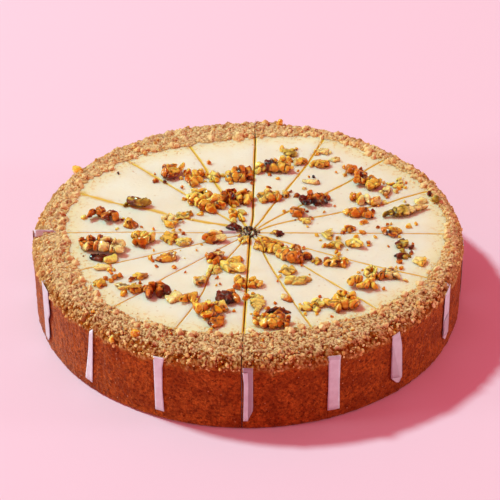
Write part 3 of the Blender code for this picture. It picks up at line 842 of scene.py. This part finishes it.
def nut_fields(points, lobes, planes, form, seed):
    """For points in mm: the nut's field, how much a broken face it is, how deep in the grooves and seams
    between lobes (painted as shade), and a number that is each lobe's own."""
    bent = points + 1.2 * shifts(points, 4.6, seed + 31) + 0.35 * shifts(points, 1.7, seed + 34)
    gaps, flats = [], []
    for middle, radii, turn, facets in lobes:
        scaled = (bent - middle) @ turn_matrix(turn).T / radii
        gap = np.linalg.norm(scaled, axis=-1) - 1
        flat = np.max([scaled @ toward - far for *toward, far in facets], axis=0)
        gaps.append(np.maximum(gap, flat) * min(radii))
        flats.append(smoothstep(-0.04, 0.04, flat - gap))
    gaps = np.stack(gaps)
    first = np.argmin(gaps, axis=0)
    own = hashed(np.stack([first] * 3, axis=-1), seed + 60)
    flat = np.take_along_axis(np.stack(flats), first[None], axis=0)[0]
    gaps = np.sort(gaps, axis=0)
    field = -np.log(np.sum(np.exp(-4 * gaps), axis=0)) / 4
    seam = smoothstep(0.6, 0.05, gaps[1] - gaps[0]) if len(gaps) > 1 else 0 * field
    groove = smoothstep(0.2, 0, np.abs(value_noise(bent, 3.1, seed))) * (1 - 0.6 * flat)
    field = field + NUT_FOLDS[form] * (0.8 * groove - 0.25) + 0.3 * seam
    field = field - 0.25 * value_noise(points, 4, seed + 3) - 0.12 * value_noise(points, 1.1, seed + 4)
    rough = 0.3 * fractal(points, 1.7, seed + 9, 2)
    broken = np.full(field.shape, -99.0)
    for *slope, far in planes:
        broken = np.maximum(broken, (points @ slope - far) / np.linalg.norm(slope) + rough)
    bare = np.maximum(smoothstep(-0.25, 0.05, broken - field), 0.8 * flat * (own > 0.25))
    return np.maximum(field, broken), bare, np.maximum(0.7 * seam, 0.9 * groove), own


def nut_portions(place):
    """The shape of each part of a nut that the cuts leave, with its slice, or None for a loose nut."""
    across, away, length, width, height, turn, form, tone = NUTS[place]
    length, width, height = length * NUT_SPREAD, width * NUT_SPREAD, height * NUT_FLAT
    lobes, planes = blob_shape(form, length, width, height, random.Random(NUT_SEED + place))
    step = NUT_STEPS[length > NUT_SMALL]
    reach = np.array([length / 2 + NUT_MARGIN, width / 2 + NUT_MARGIN, height + 3])
    low = -reach * (1, 1, 0) - (0, 0, 1)
    shape = np.ceil((reach - low) / step).astype(int) + 1
    flat = np.indices(shape).reshape(3, -1).T * step + low
    field = np.maximum(nut_fields(flat, lobes, planes, form, place)[0], -0.3 - flat[:, 2])
    inmost = np.minimum(flat - low, low + (shape - 1) * step - flat).min(axis=1)
    field = np.where(inmost < 0.5 * step, 1, field)  # so that it is closed
    loose = place in LOOSE_NUTS
    base = FILLING_TOP + (FIT_GAP if loose else -NUT_SUNK * height * MM)
    origin = np.array([across * MM, away * MM, base])
    spin = turn_matrix(math.radians(turn))
    world = flat @ spin * MM + origin
    for index in [None] if loose else range(SLICES):
        clipped = field if loose else np.maximum(field, side_gap(world, index))
        if not np.any(clipped < -0.4):
            continue
        points, faces = surface_of(clipped.reshape(shape), low, step)
        _, broken, crevice_shade, own = nut_fields(points, lobes, planes, form, place)
        placed = points @ spin * MM + origin
        if not loose:
            broken = np.maximum(broken, smoothstep(-0.35, -0.05, side_gap(placed, index)))
        colour = nut_colour(points, tone, length / 2, height, broken, crevice_shade, own, place)
        yield index, (placed, [faces], {"tint": colour})


def side_gap(points, index):
    """How far points are beyond a slice's nearer cut face, in mm, negative inside it."""
    points = points - HUB
    radius = np.hypot(points[:, 0], points[:, 1])
    gaps = []
    for cut, inward in ((index, 1), (index + 1, -1)):
        azimuth = cut_azimuth(cut)
        stray = points[:, 1] * math.cos(azimuth) - points[:, 0] * math.sin(azimuth) - wander(cut, radius)
        gaps.append(CREAM_GAP[cut % SLICES in WIDE_CUTS] + NUT_INSET - inward * stray)
    middle = (cut_azimuth(index) + cut_azimuth(index + 1)) / 2
    gaps.append(-(points[:, 0] * math.cos(middle) + points[:, 1] * math.sin(middle)))
    return np.max(gaps, axis=0) / MM


def nut_colour(points, tone, half_length, height, broken, crevice_shade, own, seed):
    """The colour of each point: skin to flesh, with random pale patches and painted light that makes the
    upper part paler, and painted shade in the grooves and low down, from one tone to the other along the nut."""
    tones = [TONES[name] for name in tone.split()]
    patch = value_noise(points, 4, seed + 40)
    along = smoothstep(-0.1, 0.1, points[:, 0] / half_length * 0.6 + 0.5 * patch + 0.6 * (own - 0.5))[:, None]
    skin, flesh = (blend(tones[0][part], tones[-1][part], along) for part in (0, 1))
    level = points[:, 2] / height
    # random pale patches, and painted light: paler towards the top of the nut
    blotch_and_top_light = 0.45 * smoothstep(0.2, 0.8, level) + 0.6 * fractal(points, 2.2, seed + 50, 2) + 0.5 * (own - 0.5)
    pale = np.maximum(broken, smoothstep(0.12, 0.42, blotch_and_top_light))
    pale = pale * (1 - 0.4 * smoothstep(0, 0.7, fractal(points, 1.6, seed + 55, 2)))
    colour = blend(skin, flesh, pale[:, None])
    # painted shade: darker in the grooves and low down on the nut
    depth = np.maximum(1.1 * crevice_shade * (1 - 0.5 * broken), 0.7 * smoothstep(0.5, 0.05, level))
    dark = np.minimum(colour, np.array(CREVICE_SHADE) * (0.4 + 0.8 * skin / skin.max()))
    return blend(colour, dark, depth[:, None])


# Materials


def node(tree, kind, inputs=None, out=0, **settings):
    """A new node, its settings, and its inputs as values or as other nodes' outputs."""
    made = tree.nodes.new(kind)
    for name, value in settings.items():
        setattr(made, name, value)
    for key, value in (inputs or {}).items():
        if isinstance(value, bpy.types.NodeSocket):
            tree.links.new(value, made.inputs[key])
        else:
            made.inputs[key].default_value = value
    return made.outputs[out]


def new_material(name, values):
    """A material with values on its shader's inputs, and its node tree."""
    material = bpy.data.materials.new(name)
    material.use_nodes = True
    for key, value in values.items():
        material.node_tree.nodes["Principled BSDF"].inputs[key].default_value = value
    return material, material.node_tree


def dress(tree, colour, relief, strength, height):
    """Gives a shader its colour, and its relief with a height in mm."""
    shader = tree.nodes["Principled BSDF"]
    bumps = node(tree, "ShaderNodeBump", {"Height": relief, "Strength": strength, "Distance": height * MM})
    tree.links.new(colour, shader.inputs["Base Color"])
    tree.links.new(bumps, shader.inputs["Normal"])


def opaque(colour):
    """A socket's colour from display values."""
    return (*srgb(*colour), 1)


def place_of(tree):
    return node(tree, "ShaderNodeTexCoord", out=3)


def mark_of(tree, name, colour=False):
    return node(tree, "ShaderNodeAttribute", attribute_name=name, out=0 if colour else 2)


def mixed(tree, factor, first, second, way="MIX"):
    inputs = {0: factor, 6: first, 7: second}
    return node(tree, "ShaderNodeMix", inputs, out=2, data_type="RGBA", blend_type=way)


def two_tone(tree, factor, first, second):
    return mixed(tree, factor, opaque(first), opaque(second))


def layered(tree, colour, *layers):
    """A colour under layers, each as a mask, how much of it shows, and a colour."""
    for mask, share, above in layers:
        colour = mixed(tree, times(tree, mask, share), colour, opaque(above))
    return colour


def speckle(tree, span, detail=3, rough=0.6):
    """Noise whose lumps are about span mm across."""
    inputs = {"Vector": place_of(tree), "Scale": 1 / (span * MM), "Detail": detail, "Roughness": rough}
    return node(tree, "ShaderNodeTexNoise", inputs)


def ranged(tree, value, low, high, to_low=0, to_high=1):
    inputs = {0: value, 1: low, 2: high, 3: to_low, 4: to_high}
    return node(tree, "ShaderNodeMapRange", inputs)


def patches(tree, span, low, high, detail=3, rough=0.6):
    return ranged(tree, speckle(tree, span, detail, rough), low, high)


def times(tree, first, second, operation="MULTIPLY"):
    return node(tree, "ShaderNodeMath", {0: first, 1: second}, operation=operation)


def spots(tree, span, low, high):
    """Round spots, one to each span mm or so, that fade out between two shares of the span."""
    distance = node(tree, "ShaderNodeTexVoronoi", {"Vector": place_of(tree), "Scale": 1 / (span * MM)})
    return ranged(tree, distance, low, high, 1, 0)


def flecks(tree, span, low, high, *cloud):
    """Spots in some patches only."""
    return times(tree, spots(tree, span, low, high), patches(tree, *cloud))


def crust_material():
    values = {
        "Roughness": 0.85,
        "Specular IOR Level": 0.06,
        "Sheen Weight": 0.2,
        "Sheen Roughness": 0.3,
        "Sheen Tint": (1.0, 0.8, 0.75, 1),
    }
    material, tree = new_material("crumb_crust", values)
    band, dip, tone, thin, outer = (mark_of(tree, name) for name in ("band", "dip", "tone", "thin", "outer"))
    fine = patches(tree, 1.6, 0.36, 0.64, 4, 0.8)
    crumb = layered(
        tree,
        two_tone(tree, fine, (216, 136, 50), (255, 238, 186)),
        (ranged(tree, tone, 0.25, 0.75), 1, (255, 222, 162)),
        (patches(tree, 6, 0.3, 0.7, 4), 0.3, (250, 194, 124)),
        (outer, 0.7, (186, 110, 32)),
        (times(tree, thin, patches(tree, 2.6, 0.44, 0.56)), 1, (250, 208, 132)),
        # dark speckles: painted shade of small pits
        (flecks(tree, 1.5, 0.1, 0.32, 3, 0.44, 0.54, 2), 0.7, (128, 60, 8)),
    )
    # painted shade in the gaps and pits between the crumbs
    crumb = mixed(tree, dip, crumb, two_tone(tree, fine, (74, 24, 0), (186, 90, 12)))
    wall = layered(
        tree,
        two_tone(tree, patches(tree, 1.7, 0.38, 0.62, 4, 0.8), (82, 18, 0), (204, 98, 34)),
        (patches(tree, 3.2, 0.36, 0.64, 4, 0.7), 0.45, (184, 80, 26)),
        (patches(tree, 9, 0.4, 0.6, 4), 0.5, (108, 26, 2)),
        (flecks(tree, 2.3, 0.1, 0.36, 3.5, 0.42, 0.58, 2), 0.5, (62, 14, 2)),
        (flecks(tree, 2.7, 0.08, 0.3, 6, 0.48, 0.6, 2), 0.65, (206, 104, 36)),
        (flecks(tree, 3.4, 0.05, 0.13, 9, 0.52, 0.58, 1), 0.8, (236, 174, 130)),
    )
    hem = two_tone(tree, fine, (128, 52, 4), (200, 116, 42))
    colour = mixed(tree, ranged(tree, band, 0, 0.55), wall, hem)
    colour = mixed(tree, ranged(tree, band, 0.45, 0.95), colour, crumb)
    dress(tree, colour, speckle(tree, 0.8, 3, 0.7), 0.9, 0.5)
    return material


def crumb_material():
    material, tree = new_material("loose_crumbs", {"Roughness": 0.9, "Specular IOR Level": 0.06})
    own = mark_of(tree, "own")
    colour = layered(
        tree,
        two_tone(tree, ranged(tree, own, 0, 0.12), (166, 92, 30), (228, 164, 90)),
        (ranged(tree, own, 0.15, 1), 1, (255, 224, 168)),
        (patches(tree, 0.8, 0.3, 0.7, 3, 0.7), 0.5, (228, 168, 88)),
    )
    dress(tree, colour, speckle(tree, 0.5, 3, 0.7), 0.6, 0.4)
    return material


def filling_material():
    values = {
        "Roughness": 0.5,
        "Subsurface Weight": 1.0,
        "Subsurface Radius": (1.0, 1.0, 0.9),
        "Subsurface Scale": 5 * MM,
    }
    material, tree = new_material("cheese_filling", values)
    rim = mark_of(tree, "rim")
    colour = layered(
        tree,
        two_tone(tree, patches(tree, 16, 0.3, 0.7), (255, 238, 214), (255, 233, 204)),
        (rim, 0.8, (255, 228, 172)),
        (times(tree, rim, patches(tree, 2.6, 0.54, 0.66)), 0.8, (236, 184, 96)),
        (flecks(tree, 5, 0.06, 0.2, 18, 0.42, 0.56, 2), 0.4, (216, 168, 116)),
        (mark_of(tree, "cut"), 1, (250, 186, 48)),
    )
    relief = times(tree, times(tree, spots(tree, 4.3, 0.04, 0.22), -0.6), speckle(tree, 3), "ADD")
    dress(tree, colour, relief, 0.25, 0.5)
    return material


def nut_material():
    values = {
        "Roughness": 0.35,
        "Specular IOR Level": 0.12,
        "Coat Weight": 0.5,
        "Coat Roughness": 0.12,
        "Subsurface Weight": 0.75,
        "Subsurface Radius": (1.0, 0.7, 0.25),
        "Subsurface Scale": 2.6 * MM,
    }
    material, tree = new_material("glazed_walnut", values)
    fine = ranged(tree, speckle(tree, 1.1), 0.3, 0.7, 0.78, 1.15)
    grey = node(tree, "ShaderNodeCombineXYZ", {0: fine, 1: fine, 2: fine})
    colour = mixed(tree, 1.0, mark_of(tree, "tint", colour=True), grey, "MULTIPLY")
    dress(tree, colour, speckle(tree, 1), 0.45, 0.4)
    return material


def paper_material():
    material, tree = new_material("waxed_paper", {"Roughness": 0.35, "Alpha": 0.92})
    colour = layered(
        tree,
        two_tone(tree, patches(tree, 5, 0.3, 0.7), (224, 204, 212), (240, 228, 234)),
        (mark_of(tree, "shade"), 1, (168, 128, 140)),
    )
    dress(tree, colour, speckle(tree, 2.5, 2), 0.3, 0.3)
    return material


def floor_material():
    values = {"Base Color": opaque((250, 204, 219)), "Roughness": 0.9, "Specular IOR Level": 0.1}
    return new_material("pale_floor", values)[0]


# The filling


def filling_slice(index):
    """A slice's top, browned and rounded off at the cuts, and its sides below."""
    outer = CAKE_RADIUS - WALL_THICKNESS - FIT_GAP
    near, beyond = CREAM_ROWS
    radii = [*np.linspace(HUB_RADIUS, CREAM_NEAR, near + 1)[:-1], *np.linspace(CREAM_NEAR, outer, beyond)]
    inner_shares = np.linspace(0, 1, CREAM_COLUMNS + 2)[1:-1]
    edge = CREAM_EDGE[-1]
    rows, cuts, rims = [], [], []
    for radius in radii:
        low, high = (slice_azimuth(index, end, radius, CREAM_GAP) for end in (0, 1))
        span = (high - low) * radius
        share = CREAM_EDGE * min(1, 0.3 * span / edge) / span
        middle = share[-1] + inner_shares * (1 - 2 * share[-1])
        shares = np.concatenate([share, middle, 1 - share[::-1]])
        gap = np.minimum(shares, 1 - shares) * span
        rounding = edge * (1 - np.sqrt(1 - (1 - gap / edge).clip(0, 1) ** 2))
        place = ring_point(radius, low + shares * (high - low), FILLING_TOP)
        wave = sum(height * MM * fractal(place, width * MM, seed, 2) for height, width, seed in CREAM_WAVES)
        place[:, 2] += wave - CREAM_ROUNDING * rounding
        rows.append(place)
        ragged = 1 + 0.5 * value_noise(place, 4 * MM, 71)
        gold = np.where(shares < 0.5, CUT_GOLD[index], CUT_GOLD[(index + 1) % SLICES]) * MM
        cuts.append(1 - smoothstep(0.5 * gold, 1.7 * gold, gap / ragged))
        inwards = CAKE_RADIUS - radius - lip_width(np.arctan2(place[:, 1], place[:, 0]))
        rims.append(smoothstep(16 * MM, 0, inwards))
    points = np.concatenate(rows)
    faces = [grid_faces(len(rows), len(rows[0]))]
    previous = grid_border(len(rows), len(rows[0]))
    ring = points[previous]
    blocks = [points]
    for level in CREAM_SIDES:
        current = sum(map(len, blocks)) + np.arange(len(ring))
        blocks.append(np.column_stack([ring[:, :2], np.full(len(ring), level)]))
        faces.append(ring_faces(previous, current))
        previous = current
    faces.append(previous[None])
    below = len(ring) * len(CREAM_SIDES)
    marks = {"cut": np.concatenate([*cuts, np.ones(below)]), "rim": np.concatenate([*rims, np.zeros(below)])}
    return np.concatenate(blocks), faces, marks


# The paper dividers


def sheet(middle, across):
    """A closed thin sheet on a grid of points, from the direction that is across it at each."""
    rows, columns = middle.shape[:2]
    both = [middle + side * PAPER / 2 * across for side in (1, -1)]
    faces = grid_faces(rows, columns)
    size = rows * columns
    border = grid_border(rows, columns)
    hem = ring_faces(border, border + size)
    return np.concatenate(both).reshape(-1, 3), [faces, faces[:, ::-1] + size, hem[:, ::-1]]


def cut_point(cut, radius):
    """Where a cut is at distances from the cake's middle, and the direction across it."""
    azimuth = cut_azimuth(cut)
    across = np.array([-math.sin(azimuth), math.cos(azimuth), 0])
    aside = off_middle(cut) + wander(cut, radius)
    along = np.sqrt(radius**2 - aside**2)
    return polar(along, azimuth, 0) + aside[:, None] * across, across


def standing_sheet(cut):
    """The part of a paper that stands in its cut."""
    rim = RIM_HEIGHTS.get(cut, RIM_HIDDEN) * MM
    radius = np.concatenate([np.linspace(PAPER_INNER, CAKE_RADIUS - PAPER_RISE, 14), CAKE_RADIUS + PAPER_OUT])
    middle, across = cut_point(cut, radius)
    top = np.full(len(radius), PAPER_HIDDEN)
    top[-len(PAPER_OUT):] = (PAPER_HIDDEN + rim) / 2, rim, rim, rim, rim - 0.8 * MM
    if cut == SHOWN_CUT:
        top = np.where(radius < SHOWN_REACH, SHOWN_TOP, np.where(radius > SHOWN_FROM, rim, top))
    share = np.linspace(0, 1, 10)
    grid = np.repeat(middle[:, None, :], len(share), axis=1)
    grid[..., 2] = PAPER_BOTTOM + share * (top[:, None] - PAPER_BOTTOM)
    return sheet(grid, across)


def tab_sheet(cut, lift, rungs):
    """One flat part of a paper's end on the wall, from its rungs."""
    exit_point, _ = cut_point(cut, np.array([CAKE_RADIUS]))
    azimuth = math.atan2(exit_point[0, 1], exit_point[0, 0])
    rungs = np.array(rungs).reshape(-1, 2, 2) * MM
    down = np.linspace(0, len(rungs) - 1, 4 * len(rungs) + 1)
    step = np.minimum(down.astype(int), len(rungs) - 2)
    part = (down - step)[:, None, None]
    ends = blend(rungs[step], rungs[step + 1], part)
    flat = blend(ends[:, :1], ends[:, 1:], np.linspace(0, 1, 7)[None, :, None])
    aside, height = flat[..., 0], flat[..., 1]
    seeds = np.stack([aside + cut, height, 0 * height], axis=-1).reshape(-1, 3)
    wave = (PAPER_WAVE * fractal(seeds, 9 * MM, 81, 2)).reshape(aside.shape)
    away = PAPER_CLEAR + lift * MM + np.abs(aside) * math.sin(PAPER_OPENING)
    turn = azimuth + aside / CAKE_RADIUS
    grid = polar(CAKE_RADIUS + away + wave * (np.abs(aside) > MM), turn, height)
    return sheet(grid, polar(1, turn, 0))


def divider(cut):
    parts = [(0, standing_sheet(cut))]
    for lift, shade, rungs in TABS.get(cut, PLAIN_TABS[cut in FOLDED_CLOCKWISE]):
        parts.append((shade, tab_sheet(cut, lift, rungs)))
    return joined([(*shape, {"shade": np.full(len(shape[0]), shade)}) for shade, shape in parts])


# The bits that lie about: across, away, size (mm), tone
BITS = (
    (68, -3, 2.6, "amber"), (75, -8, 2.2, "yellow"), (71, -14, 2.0, "brown"), (88, -40, 2.2, "amber"),
    (83, 5, 1.6, "brown"), (34, 21, 1.4, "brown"), (-38, -3, 1.8, "brown"), (-16, -2, 1.8, "brown"),
    (-53, -36, 1.6, "brown"), (-36, -42, 1.3, "brown"), (-66, -2, 1.4, "amber"), (-56, 2, 1.3, "amber"),
    (18, -47, 1.5, "amber"), (-18, -48, 1.6, "brown"), (-16, -54, 1.3, "brown"), (-8, -80, 1.5, "amber"),
    (60, 60, 1.8, "tan"), (55, 63, 1.4, "amber"), (38, 58, 1.2, "amber"), (13, 46, 2.0, "brown"),
    (-40, 47, 1.8, "brown"), (-24, 75, 2.0, "amber"), (77, -60, 1.6, "amber"), (90, -52, 1.8, "tan"),
    (-55, -20, 1.2, "amber"), (31, -36, 1.4, "amber"), (-78, 2, 1.2, "amber"), (-30, -20, 1.3, "tan"),
    (3, -99, 1.4, "amber"), (46, 19, 1.4, "tan"), (95, 30, 1.6, "tan"), (-51, 53, 1.5, "dark"),
    (-80, 63.5, 1.2, "dark"),
)
RIM_BITS = (  # azimuth (degrees), share of the band from the wall, size (mm), tone
    (238.6, 0.35, 3.4, "amber"), (233.7, 0.02, 2.6, "yellow"), (222.8, 0.45, 2.4, "amber"),
    (80, 0.3, 3.0, "amber"), (146.4, 0.06, 4.8, "yellow"), (274, 0.7, 1.4, "amber"), (300, 0.5, 1.3, "amber"),
    (247, 0.8, 1.6, "brown"), (18.5, 1.2, 2.8, "dark"), (14.4, 1.12, 4.6, "olive"), (245.7, 0.95, 1.4, "tan"),
)


def loose_bits(draw):
    """Chips of walnut on the filling and on the band, and small ones round the nuts."""
    bits = []  # middle, size (mm), tone

    def lay(across, away, lift, size, tone):
        bits.append(((across * MM, away * MM, FILLING_TOP + lift * size * MM), size, tone))

    for across, away, length, *_, tone in NUTS:
        for _ in range(draw.integers(0, 5)):
            turn, far = draw.uniform(0, TAU), length * draw.uniform(0.45, 0.75)
            size = draw.uniform(0.8, 2.6)
            own = draw.choice([*tone.split(), "amber", "yellow", "brown"])
            lay(across + far * math.cos(turn), away + far * math.sin(turn), 0.2, size, own)
    for across, away, size, tone in BITS:
        lay(across, away, 0.35, size, tone)
    for degrees, share, size, tone in RIM_BITS:
        azimuth = np.array([math.radians(degrees)])
        width = lip_width(azimuth)
        height, _ = band_top(share, azimuth, width)
        bits.append((polar(CAKE_RADIUS - share * width, azimuth, height + 0.5 * size * MM)[0], size, tone))
    middles, sizes, tones = zip(*bits)
    points, faces, which = lumps(np.array(middles), np.array(sizes) * 0.75 * MM, draw, 2, 0.5, 0.55)
    skin, flesh = (np.array([TONES[tone][part] for tone in tones])[which] for part in (0, 1))
    share = smoothstep(-0.3, 0.5, fractal(points, 1.5 * MM, 91, 2))[:, None]
    return points, [faces], {"tint": blend(skin, flesh, share)}


def hub_rubble(draw):
    """The crumbled points of the slices, in the hole in the middle."""
    radius = RUBBLE_RADIUS * np.sqrt(draw.uniform(0, 1, RUBBLE))
    azimuth = draw.uniform(0, TAU, RUBBLE)
    depth = 1.2 * MM + RUBBLE_DEPTH * draw.uniform(0, 1, RUBBLE) ** 2 - 1.5 * MM * (radius / (5 * MM)) ** 2
    middles = polar(radius, azimuth, FILLING_TOP - np.maximum(depth, -0.2 * MM)) + HUB
    sizes = draw.uniform(0.5, 1.3, RUBBLE) * MM
    points, faces, which = lumps(middles, sizes, draw, 1, 0.45, 0.6)
    choice = np.searchsorted((0.6, 0.8), draw.uniform(size=RUBBLE), side="right")
    return points, [faces], {"tint": np.array([srgb(*tone) for tone in RUBBLE_TONES])[choice][which]}


# Camera, light and floor


def add_camera():
    camera = bpy.data.cameras.new("camera")
    camera.lens = LENS_MM
    camera.sensor_width = SENSOR_MM
    camera.clip_start = 0.05
    rig = bpy.data.objects.new("camera", camera)
    bpy.context.scene.collection.objects.link(rig)
    level, sunk = math.cos(CAMERA_DOWN), math.sin(CAMERA_DOWN)
    forward = Vector((math.sin(CAMERA_YAW) * level, math.cos(CAMERA_YAW) * level, -sunk))
    right = Vector((math.cos(CAMERA_YAW), -math.sin(CAMERA_YAW), 0))
    turn = Matrix((right, right.cross(forward), -forward)).transposed() @ Matrix.Rotation(CAMERA_ROLL, 3, "Z")
    rig.matrix_world = Matrix.Translation(CAMERA_PLACE) @ turn.to_4x4()
    bpy.context.scene.camera = rig


def add_lamp(name, azimuth_deg, height_deg, distance, size, power, colour):
    lamp = bpy.data.lights.new(name, "AREA")
    lamp.shape = "DISK"
    lamp.size = size
    lamp.energy = power
    lamp.color = colour
    rig = bpy.data.objects.new(name, lamp)
    bpy.context.scene.collection.objects.link(rig)
    rise = math.radians(height_deg)
    away = Vector(polar(math.cos(rise), math.radians(azimuth_deg), math.sin(rise)))
    rig.location = distance * away
    rig.rotation_euler = away.to_track_quat("Z", "Y").to_euler()


def add_studio():
    scene = bpy.context.scene
    scene.world = bpy.data.worlds.new("studio")
    scene.world.use_nodes = True
    background = scene.world.node_tree.nodes["Background"]
    background.inputs["Color"].default_value = AMBIENT
    background.inputs["Strength"].default_value = AMBIENT_STRENGTH
    for name, values in LAMPS.items():
        add_lamp(name, *values)
    corners = np.array([(-1, -1, 0), (1, -1, 0), (1, 1, 0), (-1, 1, 0)]) * FLOOR_REACH
    floor = make_piece("floor", corners, [np.array([[0, 1, 2, 3]])], {}, floor_material())
    scene.view_settings.view_transform = "Standard"


def add_crust(crust, crumbs):
    for index in range(SLICES):
        number = f"{index + 1:02d}"
        add_piece(f"crumb_crust_{number}", crust_slice(index), crust, "crust", f"crust_{number}")
    draw = np.random.default_rng(17)
    fine, coarse, clumps = [], [], []
    for index in range(SLICES):
        middles, sizes, strays = crumb_places(index, CRUMBS, draw)
        big = sizes > COARSE_FROM
        for level, chosen, store in ((1, ~big, fine), (2, big, coarse)):
            points, faces, which = lumps(middles[chosen], sizes[chosen], draw, level, 0.45)
            own = np.maximum(draw.uniform(size=len(sizes)), 0.8 * strays)[chosen][which]
            store.append((points, [faces], {"own": own}))
        middles, sizes = clump_places(index, CLUMPS, draw)
        points, faces, which = lumps(middles, sizes, draw, 3, 0.5)
        clumps.append((points, [faces], {"own": draw.uniform(0.5, 1, len(sizes))[which]}))
    draw = np.random.default_rng(19)
    for index in range(SLICES):
        middles, sizes = edge_places(index, EDGE_CRUMBS, draw)
        points, faces, which = lumps(middles, sizes, draw, 2, 0.45)
        coarse.append((points, [faces], {"own": draw.uniform(0, 0.6, len(sizes))[which]}))
    for name, store in (("crumbs_fine", fine), ("crumbs_coarse", coarse), ("crumb_clumps", clumps)):
        add_piece(name, joined(store), crumbs, "crust", smooth=store is clumps)


def add_nuts(glazed):
    slices = {}
    for place in range(len(NUTS)):
        for index, shape in nut_portions(place):
            if index is None:
                nut = f"walnut_{LOOSE_NUTS.index(place) + 1:02d}"
                add_piece(f"glazed_{nut}", shape, glazed, "walnut", nut)
            else:
                slices.setdefault(index, []).append(shape)
    for index, shapes in sorted(slices.items()):
        number = f"{index + 1:02d}"
        add_piece(f"glazed_nuts_{number}", joined(shapes), glazed, "walnut", f"filling_{number}")


def main():
    add_camera()
    add_studio()
    crust, crumbs = crust_material(), crumb_material()
    filling, glazed, paper = filling_material(), nut_material(), paper_material()
    add_crust(crust, crumbs)
    for index in range(SLICES):
        number = f"{index + 1:02d}"
        add_piece(f"cheese_{number}", filling_slice(index), filling, "filling", f"filling_{number}")
        add_piece(f"waxed_paper_{number}", divider(index), paper, "paper", f"divider_{number}")
    add_nuts(glazed)
    draw = np.random.default_rng(29)
    add_piece("walnut_bits", loose_bits(draw), glazed, "walnut")
    add_piece("middle_crumbs", hub_rubble(draw), glazed, "walnut")


main()
